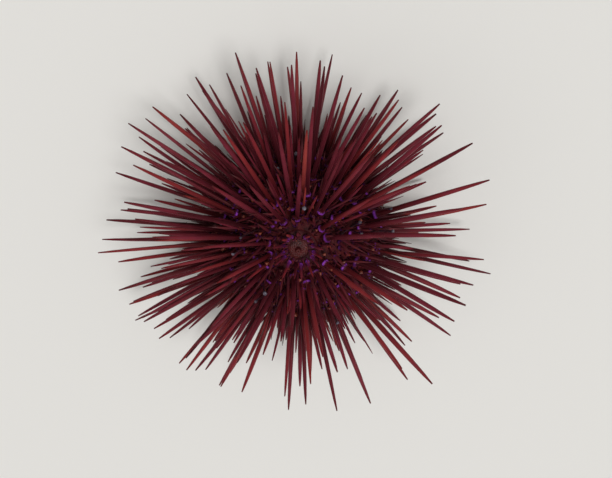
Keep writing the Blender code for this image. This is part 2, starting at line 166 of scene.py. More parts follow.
@dataclass
class Surface:
    """Faces worked out as arrays, before they become a mesh.

    Attributes:
        points: place of each point, (n, 3).
        corners: point of each face corner, face after face.
        sizes: how many corners each face has.
        unwrap: place of each face corner on the unwrap, (corners, 2).
        traits: values for each point, by name.
        around: part of the turn round its form at each face corner, and the way along it, where a
            finish reads them, (corners, 2).
    """

    points: Array
    corners: NDArray[np.int64]
    sizes: NDArray[np.int64]
    unwrap: Array
    traits: dict[Trait, Array] = field(default_factory=dict)
    around: Array | None = None

    @staticmethod
    def joined(parts: Sequence["Surface"]) -> "Surface":
        """Puts several surfaces without traits into one.

        Args:
            parts: the surfaces.

        Returns:
            One surface, each part's points following those of the part before.
        """
        starts = np.cumsum([0] + [len(part.points) for part in parts[:-1]])
        return Surface(
            np.concatenate([part.points for part in parts]),
            np.concatenate([part.corners + start for part, start in zip(parts, starts)]),
            np.concatenate([part.sizes for part in parts]),
            np.concatenate([part.unwrap for part in parts]),
        )

    def in_cell(self, low: tuple[float, float], high: tuple[float, float]) -> "Surface":
        """Moves the unwrap, which fills the unit square, into a cell of it.

        Args:
            low: the cell's lower left corner.
            high: its upper right corner.

        Returns:
            The surface itself.
        """
        corner, span = np.array(low), np.array(high) - np.array(low)
        self.unwrap = corner + self.unwrap * span
        return self

    def show(
        self, name: str, material: bpy.types.Material, slot: Slot, replaced: Sequence[str] = ()
    ) -> None:
        """Makes the surface an object of the model, with its place in its mesh.

        Args:
            name: the piece's name.
            material: its finish.
            slot: the record's material slot for its finish, not used.
            replaced: the solids that it stands for.
        """
        mesh = bpy.data.meshes.new(name)
        mesh.vertices.add(len(self.points))
        mesh.vertices.foreach_set("co", self.points.astype(np.float32).ravel())
        mesh.loops.add(len(self.corners))
        mesh.loops.foreach_set("vertex_index", self.corners.astype(np.int32))
        mesh.polygons.add(len(self.sizes))
        starts = np.concatenate(([0], np.cumsum(self.sizes)[:-1]))
        mesh.polygons.foreach_set("loop_start", starts.astype(np.int32))
        mesh.update(calc_edges=True)
        layer = mesh.uv_layers.new(name=BAKE_MAP)
        layer.data.foreach_set("uv", self.unwrap.astype(np.float32).ravel())
        if self.around is not None:
            ribs = mesh.uv_layers.new(name=RIB_MAP)
            ribs.data.foreach_set("uv", self.around.astype(np.float32).ravel())
        for key, values in self.traits.items():
            trait = mesh.attributes.new(name=key.value, type="FLOAT", domain="POINT")
            trait.data.foreach_set("value", values.astype(np.float32))
        mesh.shade_smooth()
        mesh.materials.append(material)
        piece = bpy.data.objects.new(name, mesh)
        bpy.context.scene.collection.objects.link(piece)
        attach(piece, BODY)
        if replaced:
            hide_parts(*replaced)
        LOG.info("%s: %d faces", name, len(self.sizes))


def ring_faces(rings: int, sides: int) -> tuple[NDArray[np.int64], NDArray[np.int64], Array]:
    """Faces of a tube of rings that is closed by a pole at each end.

    Point j * sides + k is place k of ring j. The first pole follows the rings, the last pole
    follows it. Seen from outside, k runs anticlockwise about the way from the first ring to the last.

    Args:
        rings: number of rings.
        sides: points in each ring.

    Returns:
        Corners, face sizes, and the corners' places on an unwrap of the unit square: round the
        tube from 0 to 1 across, and along it from 0 to 1 upwards.
    """
    j, k = np.meshgrid(np.arange(rings - 1), np.arange(sides), indexing="ij")
    after = (k + 1) % sides
    quads = np.stack((j * sides + k, j * sides + after, (j + 1) * sides + after, (j + 1) * sides + k), -1)
    level = (np.arange(rings) + 1.0) / (rings + 1.0)
    left, right = k / sides, (k + 1) / sides
    low, high = level[j], level[j + 1]
    quad_map = np.stack((left, low, right, low, right, high, left, high), -1).reshape(-1, 2)
    k = np.arange(sides)
    after = (k + 1) % sides
    first_pole, last_pole = rings * sides, rings * sides + 1
    start = np.stack((after, k, np.full(sides, first_pole)), -1)
    top = (rings - 1) * sides
    end = np.stack((top + k, top + after, np.full(sides, last_pole)), -1)
    left, middle, right = k / sides, (k + 0.5) / sides, (k + 1) / sides
    low, high = np.full(sides, level[0]), np.full(sides, level[-1])
    start_map = np.stack((right, low, left, low, middle, low * 0), -1).reshape(-1, 2)
    end_map = np.stack((left, high, right, high, middle, high * 0 + 1.0), -1).reshape(-1, 2)
    corners = np.concatenate((quads.ravel(), start.ravel(), end.ravel()))
    sizes = np.concatenate((np.full(len(quads.reshape(-1, 4)), 4), np.full(2 * sides, 3)))
    return corners, sizes, np.concatenate((quad_map, start_map, end_map))


def turns_round(steps: int) -> Array:
    """Turns of places spread evenly round a circle, from 0 on."""
    return np.arange(steps) * math.tau / steps


def turned(
    radius: Array, height: Array, steps: int, axis: Array, relief: Array | None = None
) -> Surface:
    """A closed surface turned about an upright axis, from its lower pole to its upper one.

    Place (r cos t, r sin t, z) for each section point (r, z) and each turn t. Where relief is
    given, the point moves out along the section's normal by its value there.

    Args:
        radius: distance of the section's points from the axis, bottom to top.
        height: their heights.
        steps: points in each ring.
        axis: the axis's place on the floor.
        relief: rise in metres for each section point and turn, (n, steps).

    Returns:
        The surface.
    """
    turn = turns_round(steps)
    out_r, out_z = np.gradient(height), -np.gradient(radius)
    size = np.hypot(out_r, out_z)
    rise = np.zeros((len(radius), steps)) if relief is None else relief
    r = radius[:, None] + rise * (out_r / size)[:, None]
    z = height[:, None] + rise * (out_z / size)[:, None]
    rings = np.stack((axis[0] + r * np.cos(turn), axis[1] + r * np.sin(turn), z), -1)
    poles = [[axis[0], axis[1], z[0].mean()], [axis[0], axis[1], z[-1].mean()]]
    return Surface(np.concatenate((rings.reshape(-1, 3), poles)), *ring_faces(len(radius), steps))


def resampled(corners: Array, count: int) -> Array:
    """Points along the straight lines between a section's corners, as many for each line.

    Args:
        corners: radius and height of each corner, (n, 2).
        count: number of points.

    Returns:
        Radius and height of each point, (count, 2).
    """
    place = np.linspace(0.0, len(corners) - 1.0, count)
    whole = np.clip(place.astype(int), 0, len(corners) - 2)
    part = (place - whole)[:, None]
    return corners[whole] * (1.0 - part) + corners[whole + 1] * part


def unit(vectors: Array) -> Array:
    """The vectors at length 1."""
    return vectors / np.linalg.norm(vectors, axis=-1, keepdims=True)


@dataclass(frozen=True)
class Section:
    """Lengthwise outline of a slim form that grows from the body.

    Attributes:
        base: height in shaft radii, radius as a share of the shaft's, and strength of the ring's
            colour, for each ring near the root.
        shaft: share of the way from the last base ring to the tip, and radius share.
        sides: points in each ring.
        lobes: how many lobes the form has round it.
        lobe_depth: how far they stand out, as a share of the radius, at the tip.
        full_ring_radius: shaft radius from which on the ring has its full colour. Below it the
            colour falls with the cube of the radius.
        ring_tones: tones at which the ring has none and all of its colour.
    """

    base: tuple[tuple[float, float, float], ...]
    shaft: tuple[tuple[float, float], ...]
    sides: int
    lobes: int = 0
    lobe_depth: float = 0.0
    full_ring_radius: float = 0.0001
    ring_tones: tuple[float, float] = (0.16, 0.54)


@dataclass(frozen=True)
class Growth:
    """Many forms of one kind, a row of each array for each form.

    Attributes:
        roots: where each grows from the skin, (n, 3).
        directions: unit vectors from root to tip, (n, 3).
        lengths: from root to tip.
        radii: of the shaft.
        tones: shade of each, 0 to 1.
        bows: how far the middle stands aside of the straight line, (n, 3).
        places: turn about the axis and arc length on the test, (n, 2), for the unwrap.
    """

    roots: Array
    directions: Array
    lengths: Array
    radii: Array
    tones: Array
    bows: Array
    places: Array

    def chosen(self, which: NDArray[np.bool_]) -> "Growth":
        """Only the forms that the mask names."""
        return Growth(*(getattr(self, key)[which] for key in self.__dataclass_fields__))

    def cells(self) -> tuple[Array, Array]:
        """Gives each form a cell of its own on the unwrap, near its root's place there.

        The forms are sorted by arc length into rows, and each row by turn, so that the cells
        repeat the order of the roots on an unwrap of the test and never overlap.

        Returns:
            Lower corner of each form's cell, (n, 2), and the size of a cell.
        """
        count = len(self.lengths)
        columns = max(1, round(math.sqrt(count)))
        rows = math.ceil(count / columns)
        by_level = np.argsort(self.places[:, 1], kind="stable")
        row = np.empty(count, dtype=int)
        row[by_level] = np.arange(count) // columns
        by_turn = np.lexsort((self.places[:, 0], row))
        column = np.empty(count, dtype=int)
        column[by_turn] = np.arange(count) - row[by_turn] * columns
        size = np.array([1.0 / columns, 1.0 / rows])
        return np.stack((column, row), -1) * size, size

    def across(self) -> tuple[Array, Array]:
        """Finds two ways across each form, square to each other.

        Returns:
            Unit vectors of the first way and of the second, (n, 3) each.
        """
        steep = np.abs(self.directions[:, 2:]) > STEEP
        aside = np.where(steep, [[1.0, 0.0, 0.0]], [[0.0, 0.0, 1.0]])
        first = unit(np.cross(aside, self.directions))
        return first, np.cross(self.directions, first)

    def traits(self, section: Section, along: Array) -> dict[Trait, Array]:
        """Values that the finishes read, for each point of each form.

        Args:
            section: the lengthwise outline.
            along: share of its form's length at which each ring lies, (n, rings).

        Returns:
            The values by name, those of a form's two poles following those of its rings.
        """
        ring = np.concatenate((np.array(section.base)[:, 2], np.zeros(len(section.shaft))))
        ring = np.concatenate((np.repeat(ring, section.sides), ring[[0, -1]]))
        strength = np.minimum(1.0, self.radii / section.full_ring_radius) ** 3
        strength = strength * np.interp(self.tones, section.ring_tones, (0.0, 1.0))
        ends = np.tile([[0.0, 1.0]], (len(along), 1))
        level = np.concatenate((np.repeat(along, section.sides, axis=1), ends), 1)
        return {
            Trait.TONE: np.repeat(self.tones, level.shape[1]),
            Trait.ALONG: level.ravel(),
            Trait.RING: (strength[:, None] * ring).ravel(),
        }

    def surface(self, section: Section) -> Surface:
        """The forms as closed tubes: a section carried along each form's line.

        Point (i, j, k) is root + direction h + bow 4 f (1 - f) + (cos t u + sin t v) r, with h the
        height of ring j, f its share of the length, t the turn of place k, u and v across, and r
        the radius there times 1 + lobe_depth f cos(lobes t). None goes under the floor.

        Args:
            section: the lengthwise outline.

        Returns:
            The surface of all the forms.
        """
        base, shaft = np.array(section.base), np.array(section.shaft)
        low = base[:, 0] * self.radii[:, None]
        reach = (self.lengths - low[:, -1])[:, None]
        height = np.concatenate((low, low[:, -1:] + reach * shaft[:, 0]), 1)
        share = np.concatenate((base[:, 1], shaft[:, 1]))
        along = np.clip(height / self.lengths[:, None], 0.0, 1.0)
        turn = turns_round(section.sides)
        across, beside = (vectors[:, None, :] for vectors in self.across())
        round_about = np.cos(turn)[:, None] * across + np.sin(turn)[:, None] * beside
        width = self.radii[:, None, None] * share[None, :, None]
        lobed = 1.0 + section.lobe_depth * along[:, :, None] * np.cos(section.lobes * turn)
        middle = (
            self.roots[:, None, :]
            + self.directions[:, None, :] * height[:, :, None]
            + self.bows[:, None, :] * (4.0 * along * (1.0 - along))[:, :, None]
        )
        rings = middle[:, :, None, :] + round_about[:, None, :, :] * (width * lobed)[..., None]
        count, levels = height.shape
        points = np.concatenate((rings.reshape(count, -1, 3), middle[:, (0, -1), :]), 1)
        points[..., 2] = np.maximum(points[..., 2], 0.0)
        corners, sizes, unwrap = ring_faces(levels, section.sides)
        corner, size = self.cells()
        starts = np.arange(count) * points.shape[1]
        spot = corner[:, None, :] + size * (0.5 - CELL_FILL / 2 + unwrap[None] * CELL_FILL)
        return Surface(
            points.reshape(-1, 3),
            (starts[:, None] + corners[None]).ravel(),
            np.tile(sizes, count),
            spot.reshape(-1, 2),
            self.traits(section, along),
            np.tile(unwrap, (count, 1)),
        )


@dataclass(frozen=True)
class TestShape:
    """The test: a dome over a flatter base, turned about the axis.

    Its section is radius R sin(a)^p and height H cos(a)^p, with a from 0 at the apex to pi at the
    lower pole, and p = 2 / power of that half.
    """

    radius: float = 0.0185
    dome_height: float = 0.0112
    base_depth: float = 0.0070
    dome_power: float = 2.15
    base_power: float = 2.6
    ambitus_height: float = 0.0130
    disc_radius: float = 0.0041
    disc_depth: float = 0.0022
    mouth_radius: float = 0.0065
    mouth_depth: float = 0.0024
    gap: float = 0.0003
    samples: int = 721
    slope_step: float = 0.0002

    @cached_property
    def outline(self) -> tuple[Array, Array, Array]:
        """The section from the apex to the lower pole.

        Returns:
            Radius, height and arc length of each point.
        """
        angle = np.linspace(0.0, math.pi, self.samples)
        dome = angle <= math.pi / 2
        power = np.where(dome, 2.0 / self.dome_power, 2.0 / self.base_power)
        height = np.where(dome, self.dome_height, -self.base_depth)
        radius = self.radius * np.abs(np.sin(angle)) ** power
        z = self.ambitus_height + height * np.abs(np.cos(angle)) ** power
        run = np.hypot(np.diff(radius), np.diff(z))
        return radius, z, np.concatenate(([0.0], np.cumsum(run)))

    @cached_property
    def start(self) -> float:
        """Arc length at the apical disc's edge."""
        radius, run = (line[: self.samples // 2 + 1] for line in self.outline[::2])
        return float(np.interp(self.disc_radius + self.gap, radius, run))

    @cached_property
    def end(self) -> float:
        """Arc length at the mouth's edge."""
        radius, run = (line[self.samples // 2 :] for line in self.outline[::2])
        return float(np.interp(-self.mouth_radius - self.gap, -radius, run))

    def at(self, run: Array) -> tuple[Array, Array]:
        """Radius and height at an arc length."""
        radius, z, runs = self.outline
        return np.interp(run, runs, radius), np.interp(run, runs, z)

    def normals(self, run: Array, azimuth: Array) -> Array:
        """Unit normals of the test.

        Args:
            run: arc lengths.
            azimuth: turns about the axis.

        Returns:
            One normal for each place, (n, 3).
        """
        r_before, z_before = self.at(run - self.slope_step)
        r_after, z_after = self.at(run + self.slope_step)
        out, up = -(z_after - z_before), r_after - r_before
        size = np.hypot(out, up)
        out, up = out / size, up / size
        return np.stack((out * np.cos(azimuth), out * np.sin(azimuth), up), -1)

    def station(self, run: Array) -> Array:
        """Share of the way from the apical disc, 0, to the mouth, 1."""
        return (run - self.start) / (self.end - self.start)

    def places(self, run: Array, azimuth: Array, axis: Array) -> Array:
        """Places on the test at arc lengths and turns, (n, 3)."""
        radius, z = self.at(run)
        return np.stack((axis[0] + radius * np.cos(azimuth), axis[1] + radius * np.sin(azimuth), z), -1)

    @property
    def disc_top(self) -> float:
        """Height of the skin at the apical disc's edge."""
        return float(self.at(np.array(self.start))[1])

    @property
    def mouth_face(self) -> float:
        """Height of the skin at the mouth's edge."""
        return float(self.at(np.array(self.end))[1])


@dataclass(frozen=True)
class Rays:
    """Five narrow ambulacra and five wide interambulacra, in order round the axis."""

    count: int = 5
    first_deg: float = 90.0
    narrow_deg: float = 30.0
    wide_deg: float = 42.0

    def sectors(self) -> list[tuple[str, float, float]]:
        """Lists the ten sectors.

        Returns:
            Name of each, with its centre and its width in degrees.
        """
        listed = []
        for ray in range(self.count):
            centre = self.first_deg + ray * 360.0 / self.count
            listed.append((f"ambulacrum_{ray + 1}", centre, self.narrow_deg))
            listed.append((f"interambulacrum_{ray + 1}", centre + 180.0 / self.count, self.wide_deg))
        return listed

    def ray_turns(self) -> Array:
        """Turn of each ray in radians."""
        return np.radians(self.first_deg + np.arange(self.count) * 360.0 / self.count)


def held_normal(rng: np.random.Generator) -> float:
    """A normal draw, held within two spreads of its middle."""
    return float(np.clip(rng.normal(), -2.0, 2.0))


@dataclass
class Spine:
    """One long spine as it was drawn.

    Attributes:
        root: where it grows from the skin.
        tip: its other end.
        direction: unit vector from root to tip.
        length: from root to tip.
        radius: of its shank.
        place: turn about the axis and arc length of its root.
        sector: the part of the test that it grows from.
    """

    root: Array
    tip: Array
    direction: Array
    length: float
    radius: float
    place: tuple[float, float]
    sector: str = ""


@dataclass
class SpineBed:
    """Where the long spines grow: the solids' own spines first, then finer ones between them.

    The named sizes, the seed and the order of the draws are those of the solids, so that each
    spine here has the axis and the tip of the solid that it takes the place of.
    """

    shape: TestShape
    rays: Rays
    seed: int = 367
    spacing: float = 0.0029
    row_step: float = 0.0026

    # Length and lean by station, and how they spread from spine to spine.
    stations: tuple[float, ...] = (0.0, 0.12, 0.34, 0.57, 0.78, 1.0)
    station_lengths: tuple[float, ...] = (0.0150, 0.0245, 0.0280, 0.0268, 0.0165, 0.0078)
    station_leans_deg: tuple[float, ...] = (38.0, 58.0, 74.0, 91.0, 112.0, 150.0)
    length_spread: float = 0.07
    short_share: float = 0.42
    short_range: tuple[float, float] = (0.56, 0.88)
    turn_spread_deg: float = 3.8
    lean_spread_deg: float = 3.7

    # Neighbours lean together in loose bunches round the animal.
    bunches: int = 17
    bunch_turn_deg: float = 2.0
    bunch_twist: float = 9.0

    # Length of the spines towards each eighth of the turn from +X, as a share of their station's.
    side_reach: tuple[float, ...] = (0.94, 0.955, 0.885, 0.94, 1.01, 0.86, 0.83, 0.985)

    # The side towards +X and -Y has fewer spines above the thin station.
    thin_side_deg: float = 332.0
    thin_share: float = 0.62
    thin_station: float = 0.86

    # How far the rows keep from the skin's edges. Then where a spine may stand, as shares of the
    # row's step and of its place's width, and how many draws each place has.
    row_edge: float = 0.0010
    row_stagger: float = 0.25
    row_jitter: float = 0.16
    place_jitter: float = 0.24
    draws: int = 80

    # Radius of a spine as long as radius_at, its taper, and the room that it keeps.
    radius: float = 0.00060
    radius_at: float = 0.0270
    radius_power: float = 0.35
    radius_spread: float = 0.08
    shoulder_width: float = 0.88
    taper_from: float = 0.3
    foot_sink: float = 0.00022
    edge_margin: float = 0.00038
    clearance: float = 0.00042
    spines: list[Spine] = field(default_factory=list)

    def free_space(self, spine: Spine, others: Sequence[Spine]) -> float:
        """Least space between one tapered spine and others.

        The nearest points of two axes lie at shares s and t of their lengths, where the line from
        one to the other is square to both. The space is that line less both radii there.

        Args:
            spine: the spine.
            others: those that it keeps clear of.

        Returns:
            The space in metres, without end where there are no others.
        """
        if not others:
            return math.inf
        starts = np.array([item.root for item in others])
        ends = np.array([item.tip for item in others])
        widths = np.array([item.radius for item in others])
        first, second, between = spine.tip - spine.root, ends - starts, spine.root - starts
        first_first = first @ first
        second_first = second @ first
        between_first = between @ first
        second_second = np.einsum("ij,ij->i", second, second)
        between_second = np.einsum("ij,ij->i", second, between)
        spread = np.maximum(first_first * second_second - second_first * second_first, PARALLEL)
        s = (second_first * between_second - between_first * second_second) / spread
        t = np.clip((second_first * np.clip(s, 0.0, 1.0) + between_second) / second_second, 0.0, 1.0)
        s = np.clip((second_first * t - between_first) / first_first, 0.0, 1.0)
        apart = between + s[:, None] * first - t[:, None] * second
        taper_s, taper_t = (
            1.0 - self.shoulder_width * np.maximum(0.0, x - self.taper_from) for x in (s, t)
        )
        space = np.linalg.norm(apart, axis=1) - spine.radius * taper_s - widths * taper_t
        return float(space.min())

    def draw(self, rng: np.random.Generator, run: float, azimuth: float) -> Spine:
        """One draw of a spine.

        Args:
            rng: the seeded source of the draw.
            run: arc length of its root.
            azimuth: turn of its root about the axis.

        Returns:
            The spine, with the test's axis at the origin.
        """
        station = self.shape.station(run)
        length = float(np.interp(station, self.stations, self.station_lengths))
        lean = math.radians(float(np.interp(station, self.stations, self.station_leans_deg)))
        length *= 1.0 + self.length_spread * held_normal(rng)
        short, share = rng.random(), rng.uniform(*self.short_range)
        sides = np.linspace(0.0, math.tau, len(self.side_reach) + 1)
        length *= float(np.interp(azimuth % math.tau, sides, (*self.side_reach, self.side_reach[0])))
        if short < self.short_share and self.stations[1] < station < self.stations[4]:
            length *= share
        lean += math.radians(self.lean_spread_deg) * held_normal(rng)
        turn = math.radians(self.turn_spread_deg) * held_normal(rng)
        turn += math.radians(self.bunch_turn_deg) * math.sin(
            self.bunches * azimuth + self.bunch_twist * station
        )
        radius, z = (float(value) for value in self.shape.at(run))
        root = np.array((radius * math.cos(azimuth), radius * math.sin(azimuth), z))
        lowest = -(z + self.foot_sink) / length
        if math.cos(lean) <= lowest:
            lean = math.acos(lowest)
        heading = azimuth + turn
        flat = math.sin(lean)
        direction = np.array((flat * math.cos(heading), flat * math.sin(heading), math.cos(lean)))
        width = self.radius * (length / self.radius_at) ** self.radius_power
        width *= 1.0 + self.radius_spread * held_normal(rng)
        return Spine(root, root + direction * length, direction, length, width, (azimuth, run))

    def row(
        self, rng: np.random.Generator, name: str, centre: float, width: float, row: int, rows: int
    ) -> list[Spine]:
        """The spines of one row across one sector.

        Args:
            rng: the seeded source of the draws.
            name: the sector's name.
            centre: its centre in degrees.
            width: its width in degrees.
            row: number of the row from the apical disc.
            rows: how many rows there are.

        Returns:
            Those that found a clear place.
        """
        inner, outer = self.shape.start + self.row_edge, self.shape.end - self.row_edge
        step = (outer - inner) / rows
        middle = float(self.shape.at(inner + (row + 0.5) * step)[0])
        count = max(1, round(middle * math.radians(width) / self.spacing))
        thin_side = max(0.0, math.cos(math.radians(centre - self.thin_side_deg)))
        made: list[Spine] = []
        for place in range(count):
            stagger = self.row_stagger if (row + place) % 2 else -self.row_stagger
            if rng.random() < self.thin_share * thin_side and (row + 0.5) / rows < self.thin_station:
                continue
            for _ in range(self.draws):
                jitter = rng.uniform(-self.row_jitter, self.row_jitter)
                run = inner + (row + 0.5 + stagger + jitter) * step
                edge = math.degrees((self.radius + self.edge_margin) / float(self.shape.at(run)[0]))
                room = max(0.0, width / 2 - edge)
                jitter = rng.uniform(-self.place_jitter, self.place_jitter)
                aside = width * ((place + 0.5 + jitter) / count - 0.5)
                spine = self.draw(rng, run, math.radians(centre + max(-room, min(room, aside))))
                spine.sector = name
                if self.free_space(spine, self.spines + made) > self.clearance:
                    made.append(spine)
                    break
        return made

    def grow(self) -> None:
        """Sets every spine of the solids, sector by sector and row by row."""
        rng = np.random.default_rng(self.seed)
        skin = self.shape.end - self.shape.start
        rows = int((skin - 2 * self.row_edge) / self.row_step)
        for name, centre, width in self.rays.sectors():
            for row in range(rows):
                self.spines.extend(self.row(rng, name, centre, width, row, rows))
        LOG.info("long spines: %d", len(self.spines))

    def sector_at(self, azimuth: float) -> str:
        """Finds the sector that holds a turn about the axis.

        Args:
            azimuth: the turn.

        Returns:
            The sector's name.
        """
        sectors = self.rays.sectors()
        aside = [
            abs((math.degrees(azimuth) - centre + 180.0) % 360.0 - 180.0) - width / 2
            for _, centre, width in sectors
        ]
        return sectors[int(np.argmin(aside))][0]


@dataclass(frozen=True)
class SpineFinish:
    """Spine calcite under a thin live skin: satin, grown in fine lengthwise ribs.

    It gives the eye a maroon shank, redder or browner from spine to spine, darker and more violet at the
    root, partly its own colour and partly painted shade among the crowded roots, lighter outwards and a
    little darker at the tip, with painted shade in the grooves, a velvet edge and a violet ring. A real
    spine has about twice as many ribs, too fine to show in the render.
    """

    name: str = "spine_calcite_satin"
    tones: tuple[tuple[float, str], ...] = (
        (0.0, "#47141e"), (0.28, "#641e2b"), (0.46, "#752837"),
        (0.6, "#7e272d"), (0.8, "#8c2e30"), (1.0, "#9f403a"),
    )
    # Darker towards the root, partly the spine's own colour and partly painted shade among the crowded
    # roots; a little darker at the tip.
    lengthwise: tuple[tuple[float, str], ...] = (
        (0.0, "#665460"), (0.2, "#988690"), (0.5, "#dcd4d6"),
        (0.74, "#ffffff"), (0.93, "#ecdcda"), (1.0, "#bca29c"),
    )
    ring: str = "#8c3eb4"
    mottle_mm: float = 2.5
    mottle_detail: float = 3.0
    mottle_share: float = 0.4
    ribs: int = 12
    rib_rise_mm: float = 0.03
    rib_strength: float = 0.6
    # Painted shade in the grooves between the ribs: there the colour is multiplied down to this share.
    painted_groove_shade: float = 0.76
    groove_top: float = 0.2
    roughness: float = 0.36
    specular: float = 0.3
    gloss_tint: str = "#f49a92"
    velvet: float = 0.3
    velvet_tint: str = "#b4505c"

    def material(self) -> bpy.types.Material:
        """Builds the node material.

        The mottle shifts the spine's tone. The lengthwise ramp, darker towards the root partly as painted
        shade, and the painted shade in the grooves darken it, and the ring's colour covers it. A rib is a
        wave round the spine, from -1 in the groove to 1.

        Returns:
            The material.
        """
        material, tree = new_material(self.name)
        tone, along, ring = (
            add_node(tree, "Attribute", output="Fac", attribute_name=trait.value) for trait in Trait
        )
        place = add_node(tree, "TexCoord", output="Object")
        scale = MM_PER_M / self.mottle_mm
        mottle = add_node(tree, "TexNoise", {"Vector": place, "Scale": scale, "Detail": self.mottle_detail})
        shifted = add_node(
            tree, "Math", {0: mottle, 1: self.mottle_share, 2: tone}, operation="MULTIPLY_ADD"
        )
        centred = add_node(tree, "Math", {0: shifted, 1: self.mottle_share / 2.0}, operation="SUBTRACT")
        shade = add_node(tree, "ValToRGB", {"Fac": centred}, stops=self.tones)
        # Lengthwise ramp: darker towards the root, partly its own colour and partly painted shade.
        lengthwise_with_root_shade = add_node(tree, "ValToRGB", {"Fac": along}, stops=self.lengthwise)
        shank = add_node(tree, "Mix", {0: 1.0, 6: shade, 7: lengthwise_with_root_shade}, **MULTIPLIED)
        unwrap = add_node(tree, "UVMap", uv_map=RIB_MAP)
        round_it = add_node(tree, "SeparateXYZ", {0: unwrap})
        turn = add_node(tree, "Math", {0: round_it, 1: math.tau * self.ribs}, operation="MULTIPLY")
        rib = add_node(tree, "Math", {0: turn}, operation="SINE")
        # Painted shade: the colour is darker in the grooves between the ribs.
        groove = add_node(
            tree, "MapRange", {0: rib, 1: -1.0, 2: self.groove_top, 3: self.painted_groove_shade, 4: 1.0}
        )
        groove_shaded = add_node(tree, "VectorMath", {0: shank, "Scale": groove}, operation="SCALE")
        coloured = add_node(tree, "Mix", {0: ring, 6: groove_shaded, 7: linear(self.ring)}, **MIXED)
        rise = self.rib_rise_mm / MM_PER_M
        bump = add_node(tree, "Bump", {"Height": rib, "Distance": rise, "Strength": self.rib_strength})
        shader = add_node(
            tree,
            "BsdfPrincipled",
            {
                "Base Color": coloured,
                "Roughness": self.roughness,
                "Specular IOR Level": self.specular,
                "Specular Tint": linear(self.gloss_tint),
                "Sheen Weight": self.velvet,
                "Sheen Tint": linear(self.velvet_tint),
                "Normal": bump,
            },
        )
        add_node(tree, "OutputMaterial", {"Surface": shader})
        return material


@dataclass(frozen=True)
class FleshFinish:
    """Thin live skin over lime: dull to satin, finely grained, with small pale or warm specks."""

    name: str
    dark: str
    light: str
    speck: str
    patch_mm: float = 1.6
    patch_detail: float = 4.0
    patch_ends: tuple[float, float] = (0.36, 0.68)
    grain_mm: float = 0.25
    grain_rise_mm: float = 0.04
    grain_strength: float = 0.8
    grains_per_speck: float = 3.0
    speck_from: float = 0.64
    speck_blend: float = 0.08
    roughness: float = 0.5
    specular: float = 0.4
    subsurface: float = 0.0
    subsurface_reach: float = 0.0006

    def material(self) -> bpy.types.Material:
        """Builds the node material: a patchy ground, specks on it, and grains that stand out.

        Returns:
            The material.
        """
        material, tree = new_material(self.name)
        place = add_node(tree, "TexCoord", output="Object")
        scale = MM_PER_M / self.patch_mm
        patch = add_node(tree, "TexNoise", {"Vector": place, "Scale": scale, "Detail": self.patch_detail})
        stops = tuple(zip(self.patch_ends, (self.dark, self.light)))
        ground = add_node(tree, "ValToRGB", {"Fac": patch}, stops=stops)
        scale = MM_PER_M / self.grain_mm
        grain = add_node(tree, "TexVoronoi", {"Vector": place, "Scale": scale})
        fine = add_node(tree, "TexNoise", {"Vector": place, "Scale": scale / self.grains_per_speck})
        speck_full = self.speck_from + self.speck_blend
        specks = add_node(tree, "MapRange", {0: fine, 1: self.speck_from, 2: speck_full})
        coloured = add_node(tree, "Mix", {0: specks, 6: ground, 7: linear(self.speck)}, **MIXED)
        rise = self.grain_rise_mm / MM_PER_M
        bump = add_node(
            tree, "Bump", {"Height": grain, "Distance": rise, "Strength": self.grain_strength}
        )
        shader = add_node(
            tree,
            "BsdfPrincipled",
            {
                "Base Color": coloured,
                "Roughness": self.roughness,
                "Specular IOR Level": self.specular,
                "Subsurface Weight": self.subsurface,
                "Subsurface Scale": self.subsurface_reach,
                "Normal": bump,
            },
        )
        add_node(tree, "OutputMaterial", {"Surface": shader})
        return material


@dataclass(frozen=True)
class GrownFinish:
    """Finish of small soft or limy forms whose root, shaft and tip differ in colour."""

    name: str
    lengthwise: tuple[tuple[float, str], ...]
    ring: str = "#7f3cc0"
    tones: tuple[tuple[float, str], ...] = ((0.0, "#b8a8a8"), (1.0, "#ffffff"))
    roughness: float = 0.45
    specular: float = 0.45
    subsurface: float = 0.0
    subsurface_reach: float = 0.0005

    def material(self) -> bpy.types.Material:
        """Builds the node material: colour along the form, times its tone, then its ring.

        Returns:
            The material.
        """
        material, tree = new_material(self.name)
        tone, along, ring = (
            add_node(tree, "Attribute", output="Fac", attribute_name=trait.value) for trait in Trait
        )
        colour = add_node(tree, "ValToRGB", {"Fac": along}, stops=self.lengthwise)
        shade = add_node(tree, "ValToRGB", {"Fac": tone}, stops=self.tones)
        toned = add_node(tree, "Mix", {0: 1.0, 6: colour, 7: shade}, **MULTIPLIED)
        coloured = add_node(tree, "Mix", {0: ring, 6: toned, 7: linear(self.ring)}, **MIXED)
        shader = add_node(
            tree,
            "BsdfPrincipled",
            {
                "Base Color": coloured,
                "Roughness": self.roughness,
                "Specular IOR Level": self.specular,
                "Subsurface Weight": self.subsurface,
                "Subsurface Scale": self.subsurface_reach,
            },
        )
        add_node(tree, "OutputMaterial", {"Surface": shader})
        return material


# Dark wet skin that the spines grow from, with a coarse soft grain and rust-brown specks.
TEST_SKIN = FleshFinish(
    "test_skin_live", "#28070b", "#501014", "#843424",
    grain_mm=0.45, grain_rise_mm=0.1, roughness=0.62, specular=0.12,
)

# Dull dark lime with pale red specks.
APICAL_LIME = FleshFinish(
    "apical_plate_lime", "#2c0c12", "#4e181e", "#6e3030", roughness=0.62, specular=0.15
)

# Soft brown-red skin, a little paler than the plates round it.
ANAL_SKIN = FleshFinish("anal_skin_live", "#2c0e10", "#561c1c", "#7e3c30", specular=0.25)

# Soft rosy skin that lets a little light in.
MOUTH_SKIN = FleshFinish("mouth_skin_live", "#3a1a20", "#6a3436", "#8a5a54", subsurface=0.1)

